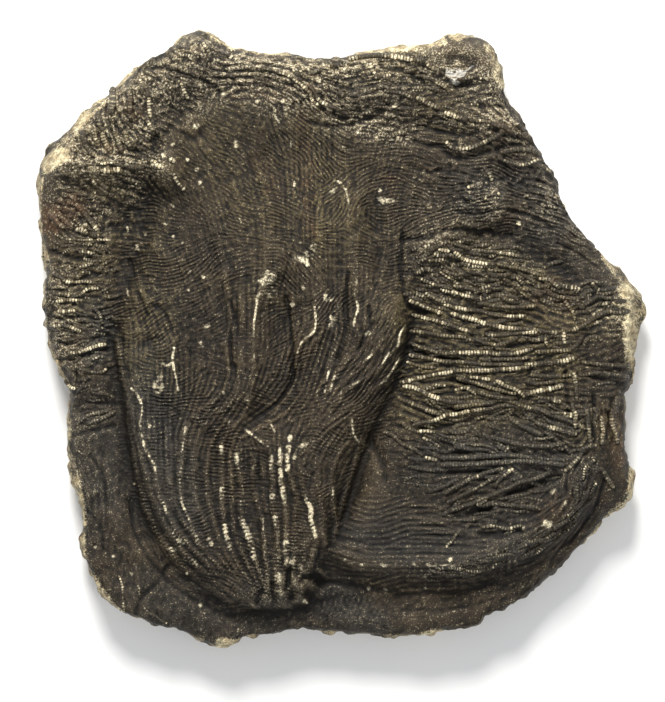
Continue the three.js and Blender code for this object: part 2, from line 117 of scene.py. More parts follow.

# Where the crown's crests are painted pale, partly bone worn down and partly a painted highlight
# along them: strength, half width, line.
WORN_AND_LIT_CRESTS = [
    (1.0, 0.55, [(-62.3, -16), (-60.5, -18), (-59.3, -20), (-58.9, -22.4), (-59.6, -26),
                 (-59.2, -29.6), (-58, -34), (-56.4, -37), (-55.2, -39), (-55, -43),
                 (-54.5, -47), (-52.6, -50), (-51.6, -54)]),
    (0.8, 0.5, [(-60, -36), (-58.9, -39), (-58, -41.4)]),
    (1.0, 0.5, [(-49.6, -4), (-49.9, -8), (-49.1, -12.5), (-48.4, -16.6)]),
    (0.8, 0.5, [(-53, -8.5), (-51.5, -9.5), (-50.4, -8.4)]),
    (1.0, 0.45, [(-46.2, -27.5), (-47, -33), (-47.5, -39), (-47.8, -44), (-47.2, -49.5),
                 (-46, -52.5), (-44.8, -55.4)]),
    (1.0, 0.7, [(-44.2, -57.4), (-43.3, -59.6), (-42.4, -61.4)]),
    (1.0, 0.7, [(-49.6, -58), (-48.4, -60.6), (-46.8, -62)]),
    (0.9, 0.6, [(-49, -64.4), (-50.6, -63.6)]),
    (0.8, 0.8, [(-46, -66.6), (-43.6, -67.6), (-42.6, -68.6)]),
    (0.9, 0.6, [(-39.4, -60.4), (-38.6, -62)]),
    (1.0, 0.6, [(-35.6, -32.4), (-35.6, -34.8)]),
    (1.0, 0.75, [(-35.3, -45.8), (-35.2, -48), (-35.4, -50.3)]),
    (1.0, 0.8, [(-34.6, -57), (-34, -59.5), (-33.2, -61.4), (-33, -63)]),
    (1.0, 0.7, [(-31.3, -35.6), (-30.9, -37.4), (-30.7, -39.4)]),
    (0.5, 0.4, [(-30.3, -41), (-29.6, -45)]),
    (1.0, 0.8, [(-29.7, -46), (-29.1, -47.6), (-29.6, -50)]),
    (1.0, 0.85, [(-29.2, -55.6), (-28.2, -57.8), (-27.4, -60), (-26.8, -62.4), (-26, -66)]),
    (1.0, 0.5, [(-28.6, -28), (-26, -30), (-23.6, -31.8), (-21.8, -33.2)]),
    (0.9, 0.6, [(-20.9, -36), (-20.8, -40), (-20.5, -43)]),
    (0.9, 0.8, [(-20.5, -46.6), (-20.3, -50)]),
    (1.0, 0.75, [(-19.7, -54), (-19.2, -56.6), (-18.8, -59.4)]),
    (0.8, 0.5, [(-23.2, -54.4), (-23.2, -58.8)]),
    (0.9, 0.45, [(-21.6, -25.6), (-20.6, -27.2), (-19.8, -28.8)]),
    (1.0, 0.7, [(-18, -34), (-18.3, -39), (-18, -43), (-17.2, -47), (-16.6, -51.6)]),
    (1.0, 0.65, [(-15.3, -30.4), (-15.8, -34), (-15.9, -37), (-16, -39.8)]),
    (0.8, 0.6, [(-14.2, -36.4), (-12, -33.2), (-10, -32), (-6.4, -30.4), (-5.4, -29)]),
    (0.6, 0.9, [(-14, -46.4), (-13.2, -49.4), (-13.9, -52), (-14.6, -54.6)]),
    (1.0, 0.6, [(-11, -46), (-10.4, -49), (-9, -51.6), (-9.2, -54), (-8.7, -56.4), (-7.8, -59.4)]),
    (0.8, 0.45, [(-2.6, -45.4), (-2.5, -47.8)]),
    (0.8, 0.9, [(-16.4, -61.6), (-17.2, -64), (-18.4, -66.6)]),
    (1.0, 1.0, [(-18.6, -71.2), (-18.4, -73.4)]),
    (1.0, 0.9, [(-18.8, -76.4), (-18, -77)]),
    (0.9, 0.8, [(-22.6, -78.4), (-21.6, -78.4)]),
    (1.0, 1.1, [(-15.8, -67), (-14.8, -67.2)]),
    (1.0, 0.9, [(-12.4, -68.6), (-11.8, -69.8)]),
    (0.9, 0.5, [(-22.2, -72.6), (-22, -74), (-22.2, -76)]),
    (0.8, 0.5, [(-26.8, -80), (-25.6, -81)]),
    (0.7, 0.5, [(-10.2, -80), (-11, -79)]),
    (0.9, 0.35, [(3.1, -24.6), (3.2, -27), (3.8, -30), (5.2, -32)]),
    (0.8, 0.55, [(2.4, -23), (2.8, -24.4)]),
    (1.0, 0.5, [(-13.2, -5.4), (-12.4, -3.4), (-11, -1.6), (-9, -0.2), (-7.9, 1.6), (-7.6, 4),
                (-8, 8)]),
    (0.7, 0.5, [(-7.6, 6), (-6.6, 8)]),
    (0.8, 0.5, [(-25.2, 10.4), (-25, 9), (-25.8, 4), (-26, 1), (-26.2, -3)]),
    (0.7, 0.4, [(-25.8, -6), (-26, -9)]),
    (0.55, 1.4, [(-24, 11.6), (-21.6, 12), (-20.6, 12.4)]),
    (0.5, 1.4, [(-22, 18.4), (-21, 17), (-23.4, 15)]),
    (1.0, 0.5, [(-2, -4.4), (-2.8, -6), (-3.4, -8.6)]),
    (0.9, 0.4, [(-3.9, -11), (-4.4, -14), (-5, -17.4)]),
    (1.0, 0.5, [(-2, -12.4), (-2.8, -14.4), (-3.2, -16.6)]),
    (0.7, 0.4, [(-6, -14.4), (-7.4, -17)]),
    (1.0, 0.5, [(4.6, 16.2), (4, 13), (4.1, 11), (4.8, 8.4), (4.6, 6.4), (3.8, 4.4), (3.6, 2.6)]),
    (0.9, 0.6, [(-3, 5), (-2, 4.2), (-3.2, 2.6)]),
    (0.9, 0.5, [(-1.4, 9.6), (-0.8, 7)]),
    (1.0, 0.9, [(-4.6, 11), (-3.4, 10.6)]),
    (1.0, 0.5, [(9.2, -5.8), (7.8, -7), (6.4, -8.4)]),
    (0.9, 0.45, [(5.6, -13.7), (3, -15), (0.8, -16), (-0.4, -17.4), (-0.3, -18.8)]),
    (0.7, 0.5, [(14, -5.6), (13, -7), (12, -8.6)]),
    (0.8, 0.5, [(8.8, -11.4), (8, -12)]),
    (0.8, 0.45, [(18.9, 3), (17.4, 0.4), (17, -1.6), (16.6, -3.6)]),
    (0.7, 0.6, [(8, 0.4), (7, -0.2)]),
    (0.5, 0.5, [(17, -7), (13.6, -13), (11, -15)]),
    (0.35, 0.5, [(-37, -19), (-41, -23), (-46, -28)]),
    (0.3, 0.5, [(-40, -26), (-43, -29)]),
    (1.0, 0.8, [(-13.8, 22.8), (-12.8, 24.4), (-12.2, 26.4)]),
    (1.0, 0.8, [(-12.6, 22.4), (-11, 22), (-10.2, 21)]),
    (1.0, 0.8, [(-8.4, 26), (-9, 24), (-11, 23.6), (-12.4, 23.4)]),
    (0.9, 0.6, [(-4.2, 24.6), (-3.4, 25.2)]),
    (1.0, 0.45, [(-13.9, 45), (-14, 42.4), (-13.6, 40.6)]),
    (1.0, 0.5, [(-15, 57.4), (-15.1, 55.6)]),
    (1.0, 0.6, [(-31.4, 56.8), (-31.2, 55.6)]),
    (1.0, 0.55, [(-2.4, 45.6), (-0.8, 45.2), (0.6, 43.8), (1.6, 42), (1.9, 39.6), (2.5, 36.4)]),
    (0.9, 0.6, [(-3.2, 42), (-1.6, 43.4)]),
    (0.8, 0.4, [(-31.6, 37.4), (-30.6, 35), (-29.8, 33)]),
    (0.6, 0.5, [(-30.6, 41.6), (-30.4, 40)]),
    (0.9, 0.6, [(11.4, 42.6), (11, 41), (12, 39.4)]),
    (0.6, 0.8, [(13, 39.6), (15.8, 39.4)]),
    (0.8, 0.6, [(-0.6, 55.4), (1, 55.2), (3, 54), (4.4, 52.8)]),
    (0.7, 0.7, [(10.2, 58), (11.8, 58.2)]),
    (0.8, 0.5, [(-19.6, 66.4), (-19.8, 64.8), (-18.6, 63)]),
    (0.8, 0.7, [(-35.4, 73), (-35, 71)]),
    (0.9, 0.7, [(-35.6, 60.4), (-35, 60)]),
    (1.0, 0.6, [(-62.6, 23), (-62.4, 25), (-61, 26)]),
    (0.8, 0.6, [(-59.8, 20), (-58.4, 20.4)]),
    (0.8, 0.5, [(-63.8, 32), (-63.6, 30.6)]),
    (0.7, 0.5, [(-53.4, 33.4), (-52, 32.6)]),
    (1.0, 0.6, [(-50.6, 38.2), (-50.2, 37.8)]),
    (0.8, 0.5, [(-64, 13.6), (-63.4, 11.6)]),
    (0.8, 0.6, [(-40.6, 2), (-39.4, 2.6)]),
    (0.7, 0.6, [(-41.6, -2.6), (-41.2, -3.6)]),
    (0.6, 1.2, [(-55, -15), (-54.6, -17), (-53, -13)]),
    (0.7, 0.6, [(-57.6, -26), (-56.8, -27)]),
    (0.7, 0.4, [(-33.6, -26.4), (-33.2, -25.8)]),
]

# Rods of the bed of cirri: width, how worn and bright each is (its share of pale wear and painted
# highlight on the ossicles' tops), then its line from left to right.
CIRRI = [
    (2.3, 1.0, [(32, 6.5), (35, 5.5), (38, 4.9), (42, 3.6), (46, 2.6), (50, 1.8), (56, 1.3),
                (64, 0.5)]),
    (2.1, 0.8, [(20.5, 6), (24, 5), (28, 4), (32, 2.8), (36, 1.5), (39, 0.6)]),
    (2.0, 0.8, [(30, 9), (34, 8), (38, 7.3), (42, 6.8), (46, 6), (50, 5.4), (55, 5.4)]),
    (2.0, 0.6, [(20, 10), (24, 8.5), (27.5, 7), (30, 6)]),
    (1.8, 0.6, [(24.6, 12.4), (28, 10.5), (31, 9.6)]),
    (1.8, 0.6, [(22, 9.6), (24.8, 8)]),
    (2.1, 0.9, [(30, -5.6), (37, -5.6), (42, -5.4), (46, -5.8), (50, -5.9), (54, -5), (57, -4.3)]),
    (2.0, 0.45, [(20, -6), (25, -7), (30, -8), (36, -8.3), (42, -8.8), (48, -8.9), (54, -9)]),
    (2.5, 0.95, [(54, -9.4), (59, -8.8), (62, -8.5), (66, -7.6), (70, -6.5)]),
    (2.2, 0.7, [(30, -10.8), (35, -10.6), (40, -10.8), (46, -10.5), (50, -10.2), (56, -9.8)]),
    (2.0, 1.0, [(17, -14.5), (20, -13.8), (24, -12.6), (28, -11.8), (33, -10.9)]),
    (2.4, 1.0, [(18, -15.5), (22, -16), (26, -17.8), (29, -19), (32, -20), (37, -20.3)]),
    (2.2, 0.5, [(18, -19.5), (22, -21), (26, -22.5), (30, -24)]),
    (2.1, 1.0, [(21, -27), (24, -26), (28, -25.2), (31, -24), (34, -23.6), (38, -22.6)]),
    (2.1, 0.7, [(38, -22.6), (44, -22), (48, -21), (53, -21.4)]),
    (1.8, 0.8, [(38, -12.8), (41, -13), (44, -13.4)]),
    (2.1, 0.7, [(45.6, -13.6), (49, -15.4), (52, -16.6), (54.6, -18.6)]),
    (1.8, 0.7, [(26.6, -14.8), (31, -15)]),
    (1.8, 0.6, [(33.6, -16.6), (37, -16), (40, -18)]),
    (2.4, 0.9, [(54, -18), (57.6, -17), (60, -16.5), (63, -15.8), (66, -15)]),
    (2.2, 0.8, [(62, -19.4), (65, -20)]),
    (2.2, 0.5, [(46, -19), (52, -20.5), (56, -22), (60, -23), (65, -24), (70, -24.4)]),
    (1.7, 0.9, [(42, 0.2), (46, -0.3), (50, 0), (54, 0.3), (58, 0.6)]),
    (1.9, 0.5, [(39, -1.2), (42.6, -2.6), (46, -3)]),
    (2.2, 1.0, [(33, 24.6), (36, 22.6), (38, 21.8), (42, 21), (46, 20.8)]),
    (2.0, 0.4, [(46, 20.8), (50, 20), (55, 18.8), (60, 17)]),
    (2.2, 0.9, [(33, 27), (36, 26), (38.4, 25.2)]),
    (1.9, 0.9, [(36, 28.2), (39.4, 27.8)]),
    (1.9, 0.8, [(28.6, 25), (32, 24.6)]),
    (2.0, 0.5, [(40, 25), (44, 24.5), (50, 23.8), (54, 22.5)]),
    (2.0, 0.9, [(58.4, 16.4), (61, 16.2), (63, 15), (64.8, 13.4)]),
    (2.0, 0.7, [(46, 17.8), (48, 17.4), (50.6, 18)]),
    (1.9, 0.8, [(47.6, 16.4), (50, 15.4)]),
    (1.7, 0.7, [(33, 14.6), (37, 13.8), (40, 12.9)]),
    (1.9, 0.8, [(33.6, 12.4), (38, 11.2), (41, 10.2)]),
    (1.9, 0.8, [(41.6, 13), (43, 11)]),
    (2.0, 0.9, [(47, 11.6), (49, 10.4), (51, 10)]),
    (1.8, 1.0, [(51, 14.6), (53, 14.2)]),
    (1.6, 0.5, [(51.6, 14), (54, 11.6), (56, 10.6)]),
    (1.9, 0.9, [(67.6, 1.2), (71, 2.4), (74, 4.2)]),
    (2.2, 0.9, [(70, 9.4), (72, 7.4)]),
    (2.4, 0.9, [(75, 5), (78, 6.6), (80.4, 7)]),
    (2.0, 0.7, [(77, 9), (80, 9.4)]),
    (1.8, 0.7, [(26.6, 15), (31, 14), (33, 13.5)]),
    (1.7, 0.5, [(20, -2.5), (24, -4), (29, -5.5), (34, -6)]),
    (1.7, 0.5, [(19, -8.2), (24, -9.5), (28, -9.8)]),
    (1.6, 0.8, [(17, -10.4), (19.6, -11.6)]),
    (1.6, 0.8, [(22.6, -10), (24, -10.6)]),
    (2.0, 0.35, [(40, 9.4), (46, 8.6), (52, 8), (58, 8.6)]),
    (1.9, 0.35, [(20, 1), (26, 0.2), (32, -0.6), (37, -0.8)]),
    (1.9, 0.3, [(44, -7.4), (50, -7.4), (56, -7)]),
    (2.0, 0.35, [(34, -13), (41, -14.8), (47, -16.6), (52, -17.6)]),
    (2.0, 0.35, [(40, -17), (46, -18.6), (52, -19)]),
    (2.2, 0.3, [(33, -21.6), (40, -20.8), (46, -20)]),
    (2.0, 0.35, [(56, -12), (62, -12.4), (68, -12)]),
    (1.9, 0.6, [(54, -14), (58, -14.6), (63, -14)]),
    (2.0, 0.3, [(57, -5.4), (62, -5), (68, -4.4)]),
    (1.9, 0.9, [(60.4, -1), (60.8, -3.6)]),
    (1.8, 0.9, [(65.4, 1), (65.8, -2.8)]),
    (2.0, 0.35, [(12, -29), (15, -30), (18, -32.5), (21, -34), (24.4, -36)]),
    (1.9, 0.8, [(24.6, -36.4), (28.6, -37.4)]),
    (1.8, 0.9, [(22, -29), (25, -28.7), (28, -29)]),
    (1.6, 0.6, [(28, -29), (31, -30.4), (34, -30.4)]),
    (1.6, 0.7, [(24, -30.6), (27, -32), (29, -33.5)]),
    (2.4, 0.12, [(29, -36.6), (36, -36.6), (44, -36.2), (50, -36), (57, -37)]),
    (2.4, 0.1, [(29, -38.6), (36, -38.6), (44, -38.2), (52, -37.8), (60, -38.2), (66, -39)]),
    (1.5, 0.5, [(38, -32.6), (42, -33), (45, -34), (46.6, -35)]),
    (2.4, 0.2, [(44, -30.4), (50, -32), (55, -33), (60, -33.4), (66, -32.4)]),
    (1.6, 0.7, [(57, -31.3), (60, -31), (63, -30.6)]),
    (2.1, 0.4, [(30, -47.6), (34, -45), (38, -42.8), (43, -41), (48, -39.6)]),
    (1.7, 0.3, [(31, -50), (36, -47.5), (41, -45), (45, -42.5)]),
    (2.0, 1.0, [(45, -45.4), (47, -43), (49, -41.2), (51, -39.8)]),
    (2.2, 0.35, [(32, -52.4), (38, -50.4), (43, -48.4), (48, -46), (53, -43.9), (58, -42.6),
                 (62, -41)]),
    (2.4, 0.15, [(40, -50.6), (46, -50.4), (52, -50.8), (59, -51.6)]),
    (1.8, 1.0, [(41, -50.4), (43, -49.2)]),
    (1.9, 0.5, [(41, -57), (45, -56.8), (49, -57.6), (53.4, -56.4)]),
    (1.5, 0.7, [(31, -63.4), (33, -60.8), (35.4, -57.6)]),
    (2.4, 0.3, [(50, -25), (55, -28), (60, -30)]),
    (2.5, 0.6, [(57, -26), (61, -27.4), (65, -28.5), (69.6, -29.8)]),
    (2.4, 0.25, [(56, -21.4), (62, -23.6), (68, -26), (72.4, -28)]),
    (1.4, 0.7, [(62, -23.2), (68, -23.6), (73, -24)]),
    (2.2, 0.7, [(68.6, -11), (69.2, -15), (69.6, -20)]),
    (2.2, 0.6, [(68.4, -20), (69, -24), (69, -28)]),
    (2.4, 0.8, [(66, -41), (68, -39), (70, -36.6), (71.6, -34.6)]),
    (2.4, 0.7, [(70.6, -35), (73, -33.4), (75.6, -33)]),
    (2.2, 0.5, [(74, -41), (77, -40), (79, -43), (81, -46)]),
    (2.4, 0.4, [(80, -22), (80.6, -27), (82, -32.6)]),
    (2.2, 0.4, [(77, -24), (77.4, -29), (77, -33)]),
    (2.2, 0.35, [(72.4, -22), (73, -28), (73.6, -33)]),
    (2.0, 0.3, [(70, -12), (76, -11.4), (82, -12), (86, -13)]),
    (2.0, 0.3, [(71, -8), (78, -9), (86, -9.2)]),
    (2.2, 0.9, [(81.6, -17), (83.4, -17)]),
    (1.8, 0.8, [(77, -22.6), (78, -21), (79, -22.6)]),
    (2.0, 0.5, [(30, 19), (33, 18), (35, 17.6)]),
    (1.2, 0.5, [(28.6, 22), (31, 20.4), (33.6, 18.4)]),
    (1.2, 0.5, [(29, 18.6), (31, 17.4), (33, 16)]),
    (1.8, 0.5, [(37, 18.6), (41, 18), (43.6, 16.4)]),
    (1.8, 0.4, [(70, 14), (74, 16), (77, 15)]),
    (2.0, 0.8, [(74, 15.6), (75.4, 13.6)]),
    (2.0, 0.4, [(66, 10), (68, 7), (69, 4)]),
]

# Long smooth strands that sweep round the foot of the bed of cirri into the curled stem.
STEM_STRANDS = [
    (2.0, 0.05, [(3, -52), (10, -52.4), (18, -50.6), (25, -50.6), (31, -51.6)]),
    (2.4, 0.05, [(1, -54), (9, -54.6), (18, -54.2), (26, -55.4), (34, -55.2), (42, -54)]),
    (2.4, 0.03, [(0, -56.6), (10, -57), (20, -57.4), (30, -58.4), (40, -59), (50, -58.4)]),
    (2.2, 0.03, [(-1, -59), (8, -60), (18, -60), (28, -61), (38, -61.6), (48, -60.6)]),
    (2.4, 0.05, [(-2, -61.6), (6, -63), (16, -62.6), (26, -63.4), (36, -64), (46, -63)]),
    (2.4, 0.1, [(-3, -64), (5, -66), (14, -66), (24, -66.2), (34, -66.2), (43, -65), (50, -63)]),
    (2.0, 0.3, [(-2, -66), (6, -68.4), (15, -68.6), (23, -68), (32, -68.4), (41, -67), (50, -64.6),
                (58, -61)]),
    (2.2, 0.15, [(4, -69.6), (14, -70.4), (24, -70.2), (33, -70.4), (42, -69), (51, -66.4),
                 (59, -62.8), (65, -58.4)]),
    (2.0, 0.25, [(10, -71.4), (20, -71.8), (30, -72), (40, -70.6), (50, -67.8), (59, -63.8),
                 (66, -58.6), (70, -53), (72, -46)]),
    (2.0, 0.2, [(56, -62), (62, -58), (67, -53), (70, -47), (71, -40), (71, -33)]),
    (2.0, 0.15, [(54, -59.6), (60, -56), (65, -51.6), (68, -46), (69, -40)]),
    (1.4, 0.12, [(30, -74), (40, -73), (48, -70), (54, -67)]),
    (1.4, 0.05, [(20, -73.4), (32, -73.6), (42, -72)]),
]

# Strands and broken bits along the upper edge and the upper left corner.
UPPER_STRANDS = [
    (2.2, 0.6, [(-77, 61), (-76, 57), (-74.5, 54.5), (-72.5, 52.5)]),
    (2.0, 0.5, [(-73.4, 61), (-72.8, 58), (-71.4, 55)]),
    (2.2, 0.6, [(-71, 60), (-70, 57.5), (-69, 55), (-68.3, 53.4)]),
    (2.2, 0.6, [(-67.5, 60.5), (-66, 57), (-65, 53.4)]),
    (2.0, 0.5, [(-64, 60), (-63.8, 57), (-62, 54.6)]),
    (2.4, 0.7, [(-72.4, 66.4), (-72, 64), (-71.4, 61)]),
    (2.4, 0.6, [(-68.4, 74), (-67.8, 70), (-68.2, 67), (-68, 64.6)]),
    (2.5, 0.4, [(-62.8, 73.4), (-62.6, 70.4), (-62.8, 67), (-62.8, 65)]),
    (1.4, 0.9, [(-59.8, 76), (-59, 73), (-59.3, 70.8)]),
    (1.8, 1.0, [(-57, 70.4), (-56.8, 67), (-56.5, 64.4)]),
    (1.6, 0.9, [(-57.6, 64.6), (-57, 62.6), (-56.4, 61)]),
    (1.3, 0.9, [(-47.6, 74.6), (-47, 72.5), (-45.4, 70)]),
    (1.0, 0.6, [(-79.6, 54.8), (-77.6, 54.2), (-75.4, 53.4)]),
    (0.9, 0.7, [(-79.6, 49), (-76, 49.8), (-72.6, 50.2), (-68, 50.8), (-64, 50.6)]),
    (2.2, 0.9, [(-71.4, 48.4), (-69, 48.4), (-66.6, 48.8), (-64.8, 48)]),
    (2.0, 1.0, [(-63.4, 49.6), (-61, 49.4), (-58.2, 49.2)]),
    (1.7, 1.0, [(-57.6, 51.4), (-55.6, 51), (-54.4, 49.8), (-52.4, 49)]),
    (1.8, 1.0, [(-51, 51.6), (-49, 50.6)]),
    (1.6, 0.9, [(-49.6, 47.6), (-49, 45.6), (-47.6, 43.8), (-46.2, 42.6)]),
    (1.8, 0.7, [(-74, 45.6), (-72.4, 44.2), (-70.8, 42.8), (-69.4, 41.2)]),
    (1.8, 0.6, [(-72.6, 46), (-71, 44.4), (-69.2, 42.8)]),
    (1.3, 0.8, [(-66, 42.2), (-65.2, 40.8), (-65, 39.6)]),
    (2.0, 0.9, [(-79, 39), (-77, 36.6), (-75, 34), (-73, 31.6), (-72, 30)]),
    (2.0, 0.5, [(-84.6, 36.6), (-82, 33.6), (-80, 31)]),
    (2.0, 0.4, [(-87.4, 36.4), (-85, 34), (-82.6, 31.6)]),
    (1.0, 0.4, [(-50, 86), (-49.4, 84), (-48, 82)]),
    (1.4, 0.9, [(-41.6, 87.4), (-40, 84.6), (-39, 83), (-40, 80.6), (-41, 77.6)]),
    (1.7, 0.9, [(-29.8, 79), (-27.6, 79.2), (-26, 78.2)]),
    (1.4, 0.4, [(-24.4, 78.8), (-22.6, 78.8), (-20.6, 78.2)]),
    (1.4, 0.5, [(-25.4, 76), (-22.6, 75.6)]),
    (1.3, 0.9, [(-19.6, 78), (-16.5, 77), (-14.5, 75.6), (-12.6, 74.2), (-11, 72.8), (-9.6, 71.2),
                (-8.8, 69.4), (-7, 67.8)]),
    (1.5, 1.0, [(-10, 74), (-8.5, 72.2), (-7, 70), (-6.2, 68.6), (-4.4, 67.8), (-2.6, 67.2),
                (-1, 66.4), (0.5, 65.8), (2.2, 65.2)]),
    (1.6, 0.9, [(-4.2, 79.4), (-2, 79.6), (0.5, 79.8)]),
    (1.6, 0.7, [(-9.8, 76.8), (-7.4, 77.8), (-5.2, 78.6)]),
    (1.2, 0.8, [(-13, 79.2), (-12, 77.6), (-11, 75.6)]),
    (1.4, 0.8, [(8.3, 80.4), (9, 78.6), (10, 76.4), (10.2, 75.2)]),
    (1.3, 0.7, [(10.2, 75.8), (12, 76.3), (14.8, 76.7)]),
    (2.2, 0.8, [(-2, 71), (-0.4, 71), (1.4, 70.2)]),
    (2.0, 0.7, [(2, 81.6), (6, 82.4), (10, 82.6), (14, 82.4), (18, 81.8), (21, 81)]),
    (2.0, 0.9, [(21, 81), (23, 80.9), (24.8, 80.4)]),
    (2.0, 0.8, [(25.2, 79.8), (27.2, 78.8), (29, 78)]),
    (2.0, 0.6, [(15, 59), (17, 59.8), (19.2, 60)]),
    (1.1, 0.6, [(20.2, 63), (20.3, 60)]),
    (1.9, 0.6, [(22, 70.2), (24, 69.4), (26, 68.4), (29, 67)]),
    (2.0, 1.0, [(30.4, 65.9), (33, 64.7), (35.5, 63.7), (37.4, 62.9)]),
    (1.4, 0.7, [(37.6, 63.2), (42, 62.8), (46, 61.8)]),
    (1.4, 0.5, [(27.6, 74.6), (30, 73.8), (31.4, 72.4), (32, 70.6)]),
    (2.4, 0.8, [(20.6, 66), (22.6, 65.2)]),
    (1.8, 0.8, [(20, 72), (21, 71)]),
    (1.8, 0.8, [(30.6, 57), (32.4, 54.9), (35, 54.6), (38, 55), (41, 56), (44, 57.4), (46, 58.6),
                (48.4, 60.2)]),
    (1.7, 1.0, [(42, 49.6), (43.2, 48), (44, 46.7), (44.7, 45.4)]),
    (1.5, 0.9, [(51.6, 62.6), (53, 61), (54.6, 60.6)]),
    (1.3, 0.6, [(46, 52.4), (49, 51.2), (52.4, 50.2), (55.6, 50.6), (58.6, 52)]),
    (1.8, 0.3, [(47, 53.6), (51, 54.6), (55, 54.6), (59, 53.4)]),
    (1.6, 0.7, [(37, 43.4), (38.6, 43.8), (40.2, 43.4)]),
    (2.0, 0.9, [(41.2, 40.8), (43, 39.8)]),
    (1.7, 0.8, [(33.6, 34), (36, 33), (39, 32.2), (42, 32.6)]),
    (1.8, 1.0, [(43, 34.4), (45, 33.6)]),
    (1.5, 0.6, [(34.6, 75.4), (36.6, 75.8), (39, 76), (41, 76.2)]),
    (1.8, 0.4, [(36, 41), (40, 40)]),
    (1.6, 0.8, [(45, 41), (47, 41.8)]),
    (1.6, 0.7, [(54, 41), (55.6, 41)]),
    (1.5, 0.8, [(54, 37.4), (55.6, 37.6)]),
    (1.6, 0.6, [(36, 38.2), (38, 37)]),
    (1.8, 0.4, [(44, 62), (48, 61), (51, 58.8)]),
    (1.4, 0.4, [(21, 73), (25, 73), (29, 72)]),
    (1.4, 0.4, [(12, 72), (17, 71.6), (21, 70)]),
]

# Strands of the left-hand bed and the few on the matrix below it.
LEFT_STRANDS = [
    (2.4, 0.9, [(-79, 31.4), (-77, 31), (-75.2, 30)]),
    (2.6, 0.9, [(-75, 30), (-73, 29.6), (-72, 29.4)]),
    (1.5, 1.0, [(-78.2, 24.8), (-76, 24.5), (-73.8, 24.2)]),
    (0.9, 0.6, [(-82, 28.4), (-78, 28.2), (-73, 28.2), (-68.8, 28)]),
    (1.5, 0.9, [(-79, 19.4), (-76.4, 20.4), (-74, 21.4)]),
    (1.7, 0.7, [(-86, 18.6), (-83.6, 17), (-82, 15.8), (-80.4, 15.2)]),
    (1.3, 0.6, [(-80, 15.2), (-77, 15.6), (-75, 15.4), (-72.6, 15)]),
    (1.6, 0.8, [(-86, 12), (-82.6, 11.8), (-80.6, 11.2)]),
    (1.4, 0.7, [(-80.6, 10.8), (-78, 11.6), (-75.4, 13.2), (-72, 13.6)]),
    (1.5, 0.6, [(-85, 9.6), (-81, 10), (-77, 10)]),
    (1.5, 0.7, [(-84.6, 6.8), (-82, 6.6), (-79, 6.8)]),
    (1.5, 0.8, [(-79.4, 4), (-77.6, 4.2), (-76, 4.4)]),
    (1.6, 0.9, [(-86, 2.4), (-83, 2.6), (-81, 2.2), (-79, 1.4), (-77.2, 0.8)]),
    (1.6, 1.0, [(-81.8, -5.8), (-78, -5.4), (-75, -4.2), (-72.5, -3.2), (-70, -2.8)]),
    (1.2, 0.7, [(-80, -8.6), (-78.6, -7.8), (-77.6, -6.8)]),
    (1.4, 0.5, [(-79.6, -9.4), (-76, -10.8), (-72, -11.4), (-69.6, -10)]),
    (1.2, 0.4, [(-74.6, -16.4), (-73.6, -17.6), (-70, -18), (-67.5, -19)]),
    (1.2, 0.7, [(-79, -17.6), (-77.4, -15.8), (-76, -13.4)]),
    (1.4, 0.9, [(-83, -13.6), (-81, -15.6), (-79, -16.2)]),
    (1.6, 0.15, [(-78, -26), (-75.6, -24.2), (-72, -23.4), (-68, -22.6)]),
    (1.8, 0.1, [(-76, -26.6), (-71, -25), (-67, -23)]),
    (1.2, 0.6, [(-79.6, -27.4), (-78, -26)]),
    (1.3, 0.5, [(-76, 2.6), (-74, 3), (-72, 2)]),
    (1.3, 0.5, [(-75, -8), (-72, -6.6), (-70, -7)]),
    (1.3, 0.4, [(-74, 8), (-72, 6.4), (-71, 3)]),
    (1.0, 0.8, [(-66.3, -71.6), (-65.4, -75), (-65.1, -79), (-64.8, -83)]),
    (1.2, 0.9, [(-60.7, -74.4), (-60.4, -76.4), (-60.2, -78.4)]),
    (0.9, 0.6, [(-59.4, -80.4), (-58, -82.6), (-55, -84.4), (-52, -86)]),
    (0.8, 0.6, [(-78.4, -34.4), (-76.2, -36.2)]),
    (1.2, 0.6, [(-36.6, -85), (-35.2, -87)]),
    (1.4, 0.6, [(-30.4, -87.4), (-31.4, -89.6), (-32.8, -91)]),
    (1.3, 0.5, [(-34.4, -88.4), (-33.4, -91)]),
]

